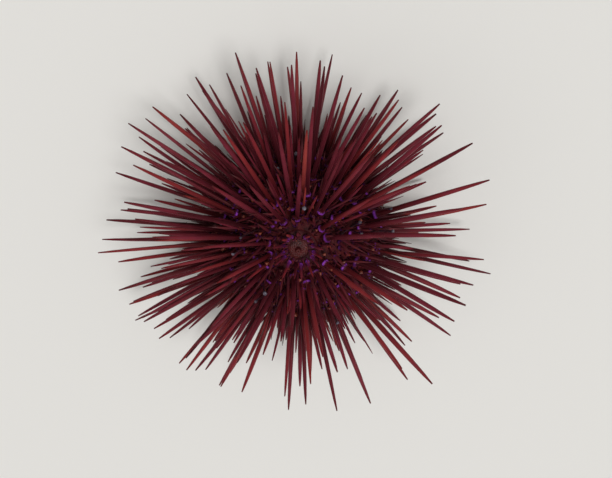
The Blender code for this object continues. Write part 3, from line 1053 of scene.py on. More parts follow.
# Dull maroon calcite, dark at the root and at the tip.
SHORT_CALCITE = GrownFinish(
    "short_spine_calcite",
    ((0.0, "#34121b"), (0.25, "#5a1f2d"), (0.6, "#6a272d"), (1.0, "#481b20")),
    specular=0.2,
)

# Thin skin of the pincers: a dark stalk with a warm brown head.
PINCER_SKIN = GrownFinish(
    "pincer_skin",
    ((0.0, "#301014"), (0.65, "#4c1c1a"), (0.8, "#6e2c20"), (1.0, "#8c4432")),
    roughness=0.4,
    subsurface=0.15,
)

# Wet skin of the tube feet: a dark brown stalk with a grey sucker.
FOOT_SKIN = GrownFinish(
    "tube_foot_skin",
    ((0.0, "#2c1016"), (0.7, "#44202c"), (0.9, "#4a3642"), (0.97, "#5e5866")),
    roughness=0.35,
    subsurface=0.2,
)

# Smooth ivory-coloured lime.
TOOTH_LIME = GrownFinish("tooth_ivory", ((0.0, "#d8c8a8"), (1.0, "#efe6d2")), roughness=0.3)

# Paler wet skin of the short feet round the mouth.
MOUTH_FOOT_SKIN = GrownFinish(
    "mouth_foot_skin", ((0.0, "#4a2830"), (0.8, "#9a8a94")), roughness=0.4
)


def bows(rng: np.random.Generator, directions: Array, lengths: Array, share: float) -> Array:
    """Draws how far the middle of each form stands aside of its straight line.

    Args:
        rng: the seeded source of the draws.
        directions: unit vectors of the forms.
        lengths: their lengths.
        share: the most that one stands aside, as a share of its length.

    Returns:
        One vector across each form, (n, 3).
    """
    aside = np.cross(directions, unit(rng.normal(size=directions.shape)))
    return unit(aside) * (lengths * share * rng.uniform(0.0, 1.0, len(lengths)))[:, None]


@dataclass
class LongSpines:
    """The long spines, one piece for each sector of the test."""

    bed: SpineBed
    axis: Array
    material: bpy.types.Material
    seed: int = 23

    # Finer spines between the others: how many, their share of a long one, and their sparse side.
    extra: int = 225
    extra_tries: int = 9000
    extra_clearance: float = 0.0001
    extra_width: tuple[float, float] = (0.5, 0.75)
    extra_length: tuple[float, float] = (0.32, 0.70)
    extra_thin_deg: float = 340.0
    extra_thin_share: float = 0.85
    bow_share: float = 0.008

    # Tones run from 0, dark and cool, to 1, light and warm. On the warm side the spines are a little
    # lighter, partly warmer in their own colour and partly painted light of the lit side, and stouter. The
    # low ones are
    # darker all round: painted shade under the spines above them.
    tone_middle: float = 0.47
    tone_spread: float = 0.19
    warm_side_deg: float = 330.0
    warm_and_lit_side_tone: float = 0.04
    warm_side_girth: float = 0.09
    low_from: float = 0.3
    low_painted_shade: float = 0.14

    # A flared root, a milled ring with its violet edge, a full shank and a fine tip.
    section: Section = Section(
        base=(
            (-0.8, 1.5, 0.0),
            (0.6, 1.78, 0.0),
            (1.25, 1.50, 0.0),
            (1.55, 1.88, 1.0),
            (2.00, 1.84, 1.0),
            (2.40, 1.18, 0.0),
            (3.2, 1.00, 0.0),
        ),
        shaft=((0.14, 0.95), (0.48, 0.90), (0.72, 0.78), (0.90, 0.54), (1.0, 0.26)),
        sides=8,
        full_ring_radius=0.00057,
    )

    def fill(self, rng: np.random.Generator) -> None:
        """Adds finer spines to the bed wherever they find a clear place.

        Args:
            rng: the seeded source of the draws.
        """
        shape, made = self.bed.shape, 0
        for _ in range(self.extra_tries):
            azimuth = rng.uniform(0.0, math.tau)
            run = float(rng.uniform(shape.start + self.bed.row_edge, shape.end - self.bed.row_edge))
            if rng.random() * shape.radius > float(shape.at(run)[0]):
                continue
            thin_side = max(0.0, math.cos(azimuth - math.radians(self.extra_thin_deg)))
            if rng.random() < self.extra_thin_share * thin_side**2:
                continue
            spine = self.bed.draw(rng, run, azimuth)
            spine.radius *= rng.uniform(*self.extra_width)
            spine.length *= rng.uniform(*self.extra_length)
            spine.tip = spine.root + spine.direction * spine.length
            if self.bed.free_space(spine, self.bed.spines) > self.extra_clearance:
                spine.sector = self.bed.sector_at(azimuth)
                self.bed.spines.append(spine)
                made += 1
            if made == self.extra:
                break
        LOG.info("finer long spines between them: %d", made)

    def growth(self, rng: np.random.Generator) -> Growth:
        """Gathers the spines of the whole test into arrays.

        Args:
            rng: the seeded source of the tones and the bows.

        Returns:
            The forms, in the order of the bed.
        """
        spines = self.bed.spines
        directions = np.array([item.direction for item in spines])
        lengths = np.array([item.length for item in spines])
        places = np.array([item.place for item in spines])
        warm = np.cos(places[:, 0] - math.radians(self.warm_side_deg))
        tones = self.tone_middle + self.tone_spread * rng.normal(size=len(spines))
        # Partly painted light: the spines on the lit +X side get a lighter, warmer tone, partly their own
        # browner colour.
        tones += self.warm_and_lit_side_tone * warm
        station = self.bed.shape.station(places[:, 1])
        low = np.clip((station - self.low_from) / (1.0 - self.low_from), 0.0, 1.0)
        # Painted shade: the spines low on the test get a darker tone, as if shaded by those above.
        tones -= self.low_painted_shade * low
        return Growth(
            roots=np.array([item.root for item in spines]) + np.array((*self.axis, 0.0)),
            directions=directions,
            lengths=lengths,
            radii=np.array([item.radius for item in spines]) * (1.0 + self.warm_side_girth * warm),
            tones=np.clip(tones, 0.0, 1.0),
            bows=bows(rng, directions, lengths, self.bow_share),
            places=places,
        )

    def dress(self) -> None:
        """Grows every long spine and shows them sector by sector."""
        rng = np.random.default_rng(self.seed)
        self.bed.grow()
        self.fill(rng)
        whole = self.growth(rng)
        owners = np.array([item.sector for item in self.bed.spines])
        for name, _, _ in self.bed.rays.sectors():
            piece = whole.chosen(owners == name).surface(self.section)
            piece.show(f"long_spines_{name}", self.material, Slot.SPINED_SKIN, (name,))


@dataclass
class Sprinkle:
    """Small forms of one kind, spread evenly over the skin.

    Form i of n stands where (i + 1/2) / n of the skin's area lies above it, turned by i times the
    golden angle.

    Attributes:
        material: their finish.
        name: name of their piece.
        count: how many there are.
        seed: of their draws.
        lengths: shortest and longest.
        radii: thinnest and thickest.
        section: their lengthwise outline.
        lie: how far they lie as the long spines do, from 0 for straight out of the skin to 1.
        wobble: spread of their directions.
        bow_share: the most that a middle stands aside, as a share of the length.
        jitter: spread of the roots along the skin.
        edge: how far the roots keep from the skin's edges.
        samples: places at which the skin's area is added up.
    """

    material: bpy.types.Material
    name: str
    count: int
    seed: int
    lengths: tuple[float, float]
    radii: tuple[float, float]
    section: Section
    lie: float
    wobble: float
    bow_share: float = 0.04
    jitter: float = 0.0006
    edge: float = 0.0004
    samples: int = 400

    def places(self, rng: np.random.Generator, bed: SpineBed) -> tuple[Array, Array]:
        """Draws where the roots stand.

        Args:
            rng: the seeded source of the draws.
            bed: the long spines and their test.

        Returns:
            Arc lengths and turns about the axis.
        """
        shape = bed.shape
        run = np.linspace(shape.start + self.edge, shape.end - self.edge, self.samples)
        area = np.cumsum(shape.at(run)[0])
        share = (np.arange(self.count) + 0.5) / self.count
        runs = np.interp(share, area / area[-1], run) + rng.normal(0.0, self.jitter, self.count)
        runs = np.clip(runs, run[0], run[-1])
        azimuths = np.arange(self.count) * GOLDEN_ANGLE
        azimuths += rng.normal(0.0, self.jitter, self.count) / shape.at(runs)[0]
        return runs, azimuths % math.tau

    def growth(self, bed: SpineBed, axis: Array) -> Growth:
        """Draws the forms.

        Args:
            bed: the long spines, whose lie they partly follow.
            axis: the test's axis.

        Returns:
            The forms, their roots on the skin.
        """
        rng = np.random.default_rng(self.seed)
        shape = bed.shape
        runs, azimuths = self.places(rng, bed)
        station = shape.station(runs)
        leans = np.radians(np.interp(station, bed.stations, bed.station_leans_deg))
        flat = np.sin(leans)
        lie = np.stack((flat * np.cos(azimuths), flat * np.sin(azimuths), np.cos(leans)), -1)
        wobble = self.wobble * rng.normal(size=lie.shape)
        normals = shape.normals(runs, azimuths)
        directions = unit(normals * (1.0 - self.lie) + lie * self.lie + wobble)
        lengths = rng.uniform(*self.lengths, self.count)
        return Growth(
            roots=shape.places(runs, azimuths, axis),
            directions=directions,
            lengths=lengths,
            radii=rng.uniform(*self.radii, self.count),
            tones=rng.uniform(0.0, 1.0, self.count),
            bows=bows(rng, directions, lengths, self.bow_share),
            places=np.stack((azimuths, runs), -1),
        )

    def dress(self, bed: SpineBed, axis: Array) -> None:
        """Shows the forms as one piece."""
        piece = self.growth(bed, axis).surface(self.section)
        piece.show(self.name, self.material, Slot.SPINED_SKIN)


@dataclass
class ShortSpines(Sprinkle):
    """Short spines with a faint ring each, between the long ones."""

    name: str = "short_spines"
    count: int = 420
    seed: int = 51
    lengths: tuple[float, float] = (0.0042, 0.0098)
    radii: tuple[float, float] = (0.00024, 0.00038)
    section: Section = Section(
        base=((-0.8, 1.5, 0.0), (0.6, 1.6, 0.0), (1.4, 1.7, 0.3), (2.6, 1.1, 0.0)),
        shaft=((0.5, 0.95), (1.0, 0.16)),
        sides=6,
    )
    lie: float = 0.45
    wobble: float = 0.16
    bow_share: float = 0.02


@dataclass
class TinySpines(Sprinkle):
    """A pelt of tiny spines over the whole skin."""

    name: str = "tiny_spines"
    count: int = 3300
    seed: int = 52
    lengths: tuple[float, float] = (0.0014, 0.0040)
    radii: tuple[float, float] = (0.00011, 0.00019)
    section: Section = Section(
        base=((-0.8, 1.4, 0.0), (1.2, 1.4, 0.03)), shaft=((0.5, 0.95), (1.0, 0.3)), sides=5
    )
    lie: float = 0.2
    wobble: float = 0.3


@dataclass
class Pincers(Sprinkle):
    """Pincers: thin stalks, each with a head of three closed jaws."""

    name: str = "pincers"
    count: int = 150
    seed: int = 53
    lengths: tuple[float, float] = (0.0018, 0.0036)
    radii: tuple[float, float] = (0.00013, 0.00018)
    section: Section = Section(
        base=((-0.8, 1.4, 0.0), (1.5, 0.9, 0.0)),
        shaft=((0.62, 0.8), (0.70, 2.2), (0.82, 2.9), (0.94, 2.0), (1.0, 0.6)),
        sides=9,
        lobes=3,
        lobe_depth=0.35,
    )
    lie: float = 0.1
    wobble: float = 0.3


@dataclass
class TubeFeet(Sprinkle):
    """Tube feet in two columns down each ambulacrum, each with a grey sucker at its end.

    Attributes:
        columns: how far each column stands aside of the ray, as a share of the ray's width.
        column_jitter: spread of the feet about their column, the same way.
        column_edge: how far the columns keep from the skin's edges.
        stagger: how far the second column runs behind the first, as a share of a step.
    """

    name: str = "tube_feet"
    count: int = 40
    seed: int = 54
    lengths: tuple[float, float] = (0.0035, 0.0075)
    radii: tuple[float, float] = (0.00018, 0.00027)
    section: Section = Section(
        base=((-0.8, 1.2, 0.0), (1.2, 1.1, 0.0)),
        shaft=((0.3, 0.9), (0.6, 0.8), (0.90, 0.75), (0.935, 1.7), (0.985, 1.9), (1.0, 1.4)),
        sides=7,
    )
    lie: float = 0.3
    wobble: float = 0.3
    bow_share: float = 0.10
    columns: tuple[float, float] = (-0.27, 0.27)
    column_jitter: float = 0.09
    column_edge: float = 0.0010
    stagger: float = 0.25

    def places(self, rng: np.random.Generator, bed: SpineBed) -> tuple[Array, Array]:
        """Draws where the roots stand, in columns.

        Args:
            rng: the seeded source of the draws.
            bed: the long spines and their test.

        Returns:
            Arc lengths and turns about the axis.
        """
        shape, rays = bed.shape, bed.rays
        number = np.arange(self.count)
        ray, rest = number % rays.count, number // rays.count
        column, level = rest % 2, rest // 2
        share = (level + 0.5 + self.stagger * column) / (level.max() + 1)
        skin = shape.end - shape.start - 2.0 * self.column_edge
        runs = shape.start + self.column_edge + share * skin
        runs = runs + rng.normal(0.0, self.jitter, self.count)
        aside = np.array(self.columns)[column] + rng.normal(0.0, self.column_jitter, self.count)
        azimuths = rays.ray_turns()[ray] + math.radians(rays.narrow_deg) * aside
        return np.clip(runs, shape.start, shape.end), azimuths % math.tau


@dataclass
class TestSkin:
    """The skin over the whole test, raised in a boss under every spine.

    It is closed inwards round the apical disc and the mouth. A boss rises by
    height (1 - (d / reach)^2)^2, d being the distance from the spine's root along the skin.
    """

    bed: SpineBed
    axis: Array
    material: bpy.types.Material
    steps: int = 480
    rings: int = 150
    boss_height: float = 0.00055
    boss_reach: float = 2.3
    wall: float = 0.0014
    edge_share: float = 0.8
    inner_share: float = 0.6
    pole_radius: float = 0.0004

    def closing(self, radius: float, height: float, wall: float) -> Array:
        """Closes the section at one of its edges by three points, from the pole on.

        Args:
            radius: of the edge.
            height: of the edge.
            wall: how far above the edge the closing face lies.

        Returns:
            Their radius and height, (3, 2).
        """
        inner = height + wall
        edge = (radius, height + wall * self.edge_share)
        return np.array(((self.pole_radius, inner), (radius * self.inner_share, inner), edge))

    def section(self) -> tuple[Array, Array, Array]:
        """The closed section from the lower pole to the upper one.

        Returns:
            Radius, height and arc length of each point, with -1 for those off the test's outline.
        """
        run = np.linspace(self.bed.shape.end, self.bed.shape.start, self.rings)
        radius, z = self.bed.shape.at(run)
        below = self.closing(radius[0], z[0], self.wall)
        above = self.closing(radius[-1], z[-1], -self.wall)[::-1]
        line = np.concatenate((below, np.stack((radius, z), -1), above))
        off = np.full(len(below), -1.0)
        return line[:, 0], line[:, 1], np.concatenate((off, run, off))

    def bosses(self, radius: Array, runs: Array) -> Array:
        """Works out the rise of the bosses over the skin.

        Args:
            radius: of each section point.
            runs: their arc lengths.

        Returns:
            Rise at each section point and turn, (n, steps).
        """
        turns = turns_round(self.steps)
        rise = np.zeros((len(runs), self.steps))
        for spine in self.bed.spines:
            azimuth, run = spine.place
            reach = spine.radius * self.boss_reach
            rows = np.flatnonzero(np.abs(runs - run) < reach)
            turn = (turns - azimuth + math.pi) % math.tau - math.pi
            across = radius[rows, None] * turn
            squared = ((runs[rows, None] - run) ** 2 + across**2) / reach**2
            boss = self.boss_height * np.clip(1.0 - squared, 0.0, None) ** 2
            rise[rows] = np.maximum(rise[rows], boss)
        return rise

    def dress(self) -> None:
        """Shows the skin in place of the ten sectors' own."""
        radius, z, runs = self.section()
        skin = turned(radius, z, self.steps, self.axis, self.bosses(radius, runs))
        sectors = [name for name, _, _ in self.bed.rays.sectors()]
        skin.show("test_skin", self.material, Slot.SPINED_SKIN, sectors)


@dataclass(frozen=True)
class Plate:
    """One limy plate of the apical disc: a polygon with soft corners and a rounded rim."""

    radius: float
    sides: int
    soften: float = 0.35
    steps: int = 36
    levels: tuple[tuple[float, float], ...] = (
        (0.94, -1.0), (1.0, 0.0), (1.0, 0.5), (0.95, 0.85),
        (0.84, 1.0), (0.45, 1.06), (0.08, 1.06),
    )

    def surface(self, centre: Array, azimuth: float, rise: float) -> Surface:
        """The plate as a closed pad.

        Its rim at turn t is R cos(pi / n) / cos(((t + pi / n) mod (2 pi / n)) - pi / n), mixed
        with the circle, and each level is that rim shrunk towards the middle and raised.

        Args:
            centre: middle of the plate's bed.
            azimuth: turn of its first corner.
            rise: height of the plate.

        Returns:
            The surface.
        """
        turn = turns_round(self.steps)
        part = math.pi / self.sides
        rim = math.cos(part) / np.cos((turn + part) % (2 * part) - part)
        rim = self.radius * (rim * (1.0 - self.soften) + self.soften)
        share, height = np.array(self.levels).T
        r = share[:, None] * rim
        level = np.broadcast_to((centre[2] + rise * height)[:, None], r.shape)
        x, y = centre[0] + r * np.cos(turn + azimuth), centre[1] + r * np.sin(turn + azimuth)
        poles = np.array([[*centre[:2], level[0, 0]], [*centre[:2], level[-1, 0]]])
        points = np.concatenate((np.stack((x, y, level), -1).reshape(-1, 3), poles))
        return Surface(points, *ring_faces(len(share), self.steps))


@dataclass
class ApicalDisc:
    """The ring of limy plates on top.

    Five large genital plates lie between the rays and five small ocular ones on them. Small
    spines stand on the plates, with tiny ones between them.
    """

    shape: TestShape
    rays: Rays
    axis: Array
    plate_material: bpy.types.Material
    spine_material: bpy.types.Material
    steps: int = 96

    # The disc's bevelled crown, and how high the plates stand on it.
    crown: float = 0.0003
    bevel: float = 0.0006
    rise: float = 0.00035

    # The cup in its middle.
    pole_radius: float = 0.0003
    cup_lip: float = 0.0003
    cup_round: float = 0.0002
    cup_foot: float = 0.0004
    cup_floor: float = 0.0003
    anus_radius: float = 0.0019

    # The plates, and how far the ocular ones keep from the disc's edge.
    genital_radius: float = 0.00105
    genital_sides: int = 6
    ocular_radius: float = 0.00062
    ocular_sides: int = 5
    ocular_edge: float = 0.0002

    # The small spines: degrees from their ray and share of the length, for each ray, then sizes.
    spines_per_ray: tuple[tuple[float, float], ...] = ((0.0, 1.0), (27.0, 0.82), (45.0, 0.82))
    spine_at: float = 0.80
    spine_length: float = 0.0062
    spine_radius: float = 0.00033
    spine_lean_deg: float = 24.0
    spine_wobble: float = 0.05
    spine_foot: float = 0.8

    # The tiny ones: how many, and the belt that they fill, in anus radii and in disc radii.
    tiny_count: int = 70
    tiny_from: float = 1.2
    tiny_to: float = 0.97
    tiny_lengths: tuple[float, float] = (0.0011, 0.0024)
    tiny_radius: float = 0.00013
    tones: tuple[float, float] = (0.1, 0.9)
    bow_share: float = 0.02
    seed: int = 31

    # Where the disc's cell on the unwrap ends and the row of the plates' cells begins.
    ring_cell_top: float = 0.3
    plate_cell_low: float = 0.32
    plate_cell_fill: float = 0.95
    section: Section = Section(
        base=((-1.0, 1.3, 0.0), (0.6, 1.5, 0.0), (1.4, 1.6, 1.0), (2.4, 1.1, 0.3)),
        shaft=((0.4, 1.0), (0.75, 0.7), (1.0, 0.12)),
        sides=8,
    )
    tiny_section: Section = Section(
        base=((-0.5, 1.2, 0.0), (1.0, 1.2, 0.2)), shaft=((0.6, 0.8), (1.0, 0.3)), sides=6
    )

    @property
    def bed_height(self) -> float:
        """Height of the bed that the plates lie on."""
        return self.shape.disc_top + self.crown

    def ring(self) -> Surface:
        """The disc under the plates, with a cup in its middle for the anal skin.

        Its section runs from the lower pole out, up the flank, over the bevelled crown and down
        into the cup.

        Returns:
            The surface.
        """
        gap, edge, top = self.shape.gap, self.shape.disc_top, self.bed_height
        low = edge - self.shape.disc_depth + gap
        outer, inner = self.shape.disc_radius, self.anus_radius + gap
        section = np.array((
            (self.pole_radius, low),
            (outer * 0.6, low),
            (outer, low),
            (outer, edge - gap * 1.5),
            (outer + gap * 2.0, edge - gap * 0.8),
            (outer, edge + self.crown * 0.15),
            (outer - self.bevel * 0.4, top - self.crown * 0.5),
            (outer - self.bevel, top - self.crown * 0.2),
            (inner + self.cup_lip, top),
            (inner, top - self.cup_round),
            (inner, low + self.cup_foot),
            (self.pole_radius, low + self.cup_floor),
        ))
        return turned(section[:, 0], section[:, 1], self.steps, self.axis)

    def plates(self) -> list[Surface]:
        """Five genital plates between the rays and five ocular plates on them.

        Returns:
            Their surfaces, ray by ray, the genital plate first.
        """
        genital_at = self.anus_radius + self.shape.gap + self.genital_radius
        ocular_at = self.shape.disc_radius - self.ocular_radius - self.ocular_edge
        genital, ocular = (
            Plate(self.genital_radius, self.genital_sides), Plate(self.ocular_radius, self.ocular_sides)
        )
        made = []
        for on_ray in self.rays.ray_turns():
            between = on_ray + math.pi / self.rays.count
            for plate, at, turn in ((genital, genital_at, between), (ocular, ocular_at, on_ray)):
                x, y = self.axis + at * np.array((math.cos(turn), math.sin(turn)))
                made.append(plate.surface(np.array((x, y, self.bed_height)), turn, self.rise))
        return made

    def small_spines(self) -> Growth:
        """Two small spines on each genital plate and one on each ocular plate.

        Returns:
            The forms.
        """
        rng = np.random.default_rng(self.seed)
        turn, share = np.array(self.spines_per_ray).T
        azimuth = (self.rays.ray_turns()[:, None] + np.radians(turn)).ravel()
        lengths = np.tile(self.spine_length * share, self.rays.count)
        at = self.shape.disc_radius * self.spine_at
        return self.upright(rng, azimuth, at, lengths, self.spine_radius)

    def tiny_spines(self) -> Growth:
        """Tiny spines spread over the plates.

        Returns:
            The forms.
        """
        rng = np.random.default_rng(self.seed + 1)
        azimuth = rng.uniform(0.0, math.tau, self.tiny_count)
        near, far = self.anus_radius * self.tiny_from, self.shape.disc_radius * self.tiny_to
        at = rng.uniform(near, far, self.tiny_count)
        lengths = rng.uniform(*self.tiny_lengths, self.tiny_count)
        return self.upright(rng, azimuth, at, lengths, self.tiny_radius)

    def upright(
        self, rng: np.random.Generator, azimuth: Array, at: Array | float, lengths: Array, radius: float
    ) -> Growth:
        """Forms that lean outwards a little from the disc.

        Args:
            rng: the seeded source of the draws.
            azimuth: turns of their roots.
            at: distance of their roots from the axis.
            lengths: their lengths.
            radius: their shaft's radius.

        Returns:
            The forms.
        """
        lean = math.radians(self.spine_lean_deg)
        out = np.stack((np.cos(azimuth), np.sin(azimuth)), -1)
        tall = np.full(len(azimuth), math.cos(lean))
        directions = np.concatenate((out * math.sin(lean), tall[:, None]), 1)
        directions = unit(directions + rng.normal(0.0, self.spine_wobble, directions.shape))
        height = np.full(len(azimuth), self.bed_height + self.rise * self.spine_foot)
        distance = np.broadcast_to(np.asarray(at), azimuth.shape)
        return Growth(
            roots=np.concatenate((self.axis + out * distance[:, None], height[:, None]), 1),
            directions=directions,
            lengths=lengths,
            radii=np.full(len(azimuth), radius),
            tones=rng.uniform(*self.tones, len(azimuth)),
            bows=bows(rng, directions, lengths, self.bow_share),
            places=np.stack((azimuth % math.tau, distance), -1),
        )

    def dress(self) -> None:
        """Shows the plates and their spines."""
        plates = self.plates()
        parts = [self.ring().in_cell((0.0, 0.0), (1.0, self.ring_cell_top))]
        for number, plate in enumerate(plates):
            left, right = number / len(plates), (number + self.plate_cell_fill) / len(plates)
            parts.append(plate.in_cell((left, self.plate_cell_low), (right, 1.0)))
        disc, slot = ("apical_disc",), Slot.APICAL_PLATES
        Surface.joined(parts).show("apical_plates", self.plate_material, slot, disc)
        spines = self.small_spines().surface(self.section)
        spines.show("apical_spines", self.spine_material, slot, disc)
        tiny = self.tiny_spines().surface(self.tiny_section)
        tiny.show("apical_tiny_spines", self.spine_material, slot)


@dataclass
class AnalDome:
    """The skin round the anus: a low dome set with tiny plates, and the anal cone in its middle.

    A tiny plate rises by height (1 - (d / reach)^2), d being the distance from its middle.
    """

    shape: TestShape
    axis: Array
    material: bpy.types.Material
    radius: float = 0.0019
    bulge: float = 0.0006
    cone_radius: float = 0.0007
    cone_height: float = 0.0012
    pole_radius: float = 0.0002
    edge: float = 0.0002
    flange_rise: float = 0.00015
    pit_radius: float = 0.0001
    steps: int = 120
    samples: int = 70

    # The tiny plates: how many, their size, and the belt that they fill, in cone and dome radii.
    grains: int = 46
    grain_rise: float = 0.00013
    grain_reach: float = 0.00026
    grains_from: float = 1.15
    grains_to: float = 0.97
    grains_depth: float = 0.0001

    def section(self) -> tuple[Array, Array]:
        """Works out the section, smoothed.

        It runs from the lower pole out, up the flank, over the flange and the dome, and up the
        cone into its pit. Each point is then half itself and a quarter of each neighbour.

        Returns:
            Radius and height of each point.
        """
        wide, cone, tall, bulge = self.radius, self.cone_radius, self.cone_height, self.bulge
        low = self.shape.disc_top - self.shape.disc_depth + self.shape.gap * 2.2
        rim, top = self.shape.disc_top, self.shape.disc_top + bulge
        corners = np.array((
            (self.pole_radius, low),
            (wide * 0.9, low),
            (wide, low + self.edge),
            (wide, rim - self.edge),
            (wide * 1.19, rim + self.flange_rise),
            (wide * 1.05, rim + bulge * 0.45),
            (wide * 0.75, top - bulge / 3),
            (wide * 0.5, top - bulge * 0.05),
            (cone, top + bulge / 6),
            (cone * 0.85, top + tall * 0.5),
            (cone * 0.6, top + tall),
            (cone * 0.35, top + tall),
            (self.pit_radius, top + tall * 0.72),
        ))
        line = resampled(corners, self.samples)
        soft = line.copy()
        soft[1:-1] = line[:-2] * 0.25 + line[1:-1] * 0.5 + line[2:] * 0.25
        return soft[:, 0], soft[:, 1]

    def grain(self, radius: Array, height: Array) -> Array:
        """Works out the rise of the tiny plates, spread by the golden angle outside the cone.

        Args:
            radius: of each section point.
            height: of each section point.

        Returns:
            Rise at each section point and turn, (n, steps).
        """
        turns = turns_round(self.steps)
        number = np.arange(self.grains)
        share = np.sqrt((number + 0.5) / self.grains)
        inner = self.cone_radius * self.grains_from
        at = inner + share * (self.radius * self.grains_to - inner)
        turn = number * GOLDEN_ANGLE
        x = (radius[:, None] * np.cos(turns))[..., None] - at * np.cos(turn)
        y = (radius[:, None] * np.sin(turns))[..., None] - at * np.sin(turn)
        raised = np.clip(1.0 - (np.hypot(x, y).min(-1) / self.grain_reach) ** 2, 0.0, None)
        return self.grain_rise * raised * (height > self.shape.disc_top - self.grains_depth)[:, None]

    def dress(self) -> None:
        """Shows the dome."""
        radius, height = self.section()
        dome = turned(radius, height, self.steps, self.axis, self.grain(radius, height))
        dome.show("anal_dome", self.material, Slot.ANAL_SKIN, ("periproct",))


@dataclass
class Mouth:
    """The mouth's skin with its lip, ten short tube feet on it, and five ivory teeth."""

    shape: TestShape
    rays: Rays
    axis: Array
    skin_material: bpy.types.Material
    tooth_material: bpy.types.Material
    foot_material: bpy.types.Material

    # The skin: how deep it is dished, its lip and its folds.
    dish: float = 0.0005
    lip_radius: float = 0.0022
    lip_rise: float = 0.0007
    pole_radius: float = 0.0002
    folds: int = 30
    fold_rise: float = 0.00012
    steps: int = 180
    samples: int = 64

    # The teeth: distance of their roots and tips from the axis, and how far they reach up and down.
    tooth_root_radius: float = 0.0017
    tooth_tip_radius: float = 0.00045
    tooth_thickness: float = 0.00055
    tooth_drop: float = 0.0017
    tooth_sink: float = 0.0008

    # The short feet, two to a ray: distance from the axis, radians aside of the ray, how deep they
    # root in the dish as a share of it, and sizes.
    foot_at: float = 0.0040
    foot_aside: float = 0.17
    foot_bed: float = 0.8
    foot_splay: float = 0.0004
    foot_length: float = 0.0022
    foot_radius: float = 0.00042
    tones: tuple[float, float] = (0.3, 1.0)
    seed: int = 41
    tooth_section: Section = Section(
        base=((0.0, 1.0, 0.0), (1.2, 0.95, 0.0)), shaft=((0.5, 0.75), (0.85, 0.45), (1.0, 0.3)), sides=10
    )
    foot_section: Section = Section(
        base=((-0.5, 1.1, 0.0), (0.8, 1.0, 0.0)),
        shaft=((0.5, 0.8), (0.75, 0.8), (0.82, 1.7), (0.97, 1.8), (1.0, 1.4)),
        sides=10,
    )

    def membrane(self) -> Surface:
        """The skin from the lip to the test's edge, folded lengthwise, closed behind.

        Its section runs from the lower pole over the lip and the dished skin to the edge, up, and
        back to the axis. The folds are a cosine round it, full outside the lip and none within.

        Returns:
            The surface.
        """
        face, outer, lip = self.shape.mouth_face, self.shape.mouth_radius, self.lip_radius
        back = face + self.shape.mouth_depth - self.shape.gap
        line = resampled(np.array((
            (self.pole_radius, face + self.dish * 0.4),
            (lip * 0.60, face),
            (lip * 0.72, face - self.lip_rise * 0.8),
            (lip, face - self.lip_rise),
            (lip * 1.35, face + self.dish * 0.4),
            (outer * 0.8, face + self.dish),
            (outer, face + self.dish / 5),
            (outer, back),
            (outer * 0.5, back),
            (self.pole_radius, back),
        )), self.samples)
        turns = turns_round(self.steps)
        folded = np.clip((line[:, 0] - lip * 0.5) / lip, 0.0, 1.0)
        folded = folded * (line[:, 1] < face + self.dish * 1.1)
        rise = self.fold_rise * folded[:, None] * np.cos(self.folds * turns)
        return turned(line[:, 0], line[:, 1], self.steps, self.axis, rise)

    def forms(
        self, turns: Array, root: tuple[float, float], tip: tuple[float, float], radius: float
    ) -> Growth:
        """Straight forms set round the axis.

        Args:
            turns: their turns about the axis.
            root: distance of the roots from the axis, and their height.
            tip: the same of the tips.
            radius: of the forms.

        Returns:
            The forms.
        """
        rng = np.random.default_rng(self.seed)
        out = np.stack((np.cos(turns), np.sin(turns), np.zeros(len(turns))), -1)
        middle = np.array((*self.axis, 0.0))
        roots, tips = (middle + out * at + [0.0, 0.0, height] for at, height in (root, tip))
        lengths = np.linalg.norm(tips - roots, axis=1)
        return Growth(
            roots=roots,
            directions=(tips - roots) / lengths[:, None],
            lengths=lengths,
            radii=np.full(len(turns), radius),
            tones=rng.uniform(*self.tones, len(turns)),
            bows=np.zeros(roots.shape),
            places=np.stack((turns % math.tau, np.zeros(len(turns))), -1),
        )

    def dress(self) -> None:
        """Shows the membrane, the teeth and the short tube feet."""
        mouth, slot, rays = ("mouth",), Slot.MOUTH_SKIN, self.rays.ray_turns()
        face = self.shape.mouth_face
        self.membrane().show("mouth_membrane", self.skin_material, slot, mouth)
        teeth = self.forms(
            rays + math.pi / self.rays.count,
            (self.tooth_root_radius, face + self.tooth_sink),
            (self.tooth_tip_radius, face - self.tooth_drop),
            self.tooth_thickness,
        )
        teeth.surface(self.tooth_section).show("teeth", self.tooth_material, slot, mouth)
        root_z = face + self.dish * self.foot_bed
        feet = self.forms(
            np.concatenate([rays + aside for aside in (-self.foot_aside, self.foot_aside)]),
            (self.foot_at, root_z),
            (self.foot_at + self.foot_splay, root_z - self.foot_length),
            self.foot_radius,
        )
        feet.surface(self.foot_section).show("mouth_tube_feet", self.foot_material, slot)


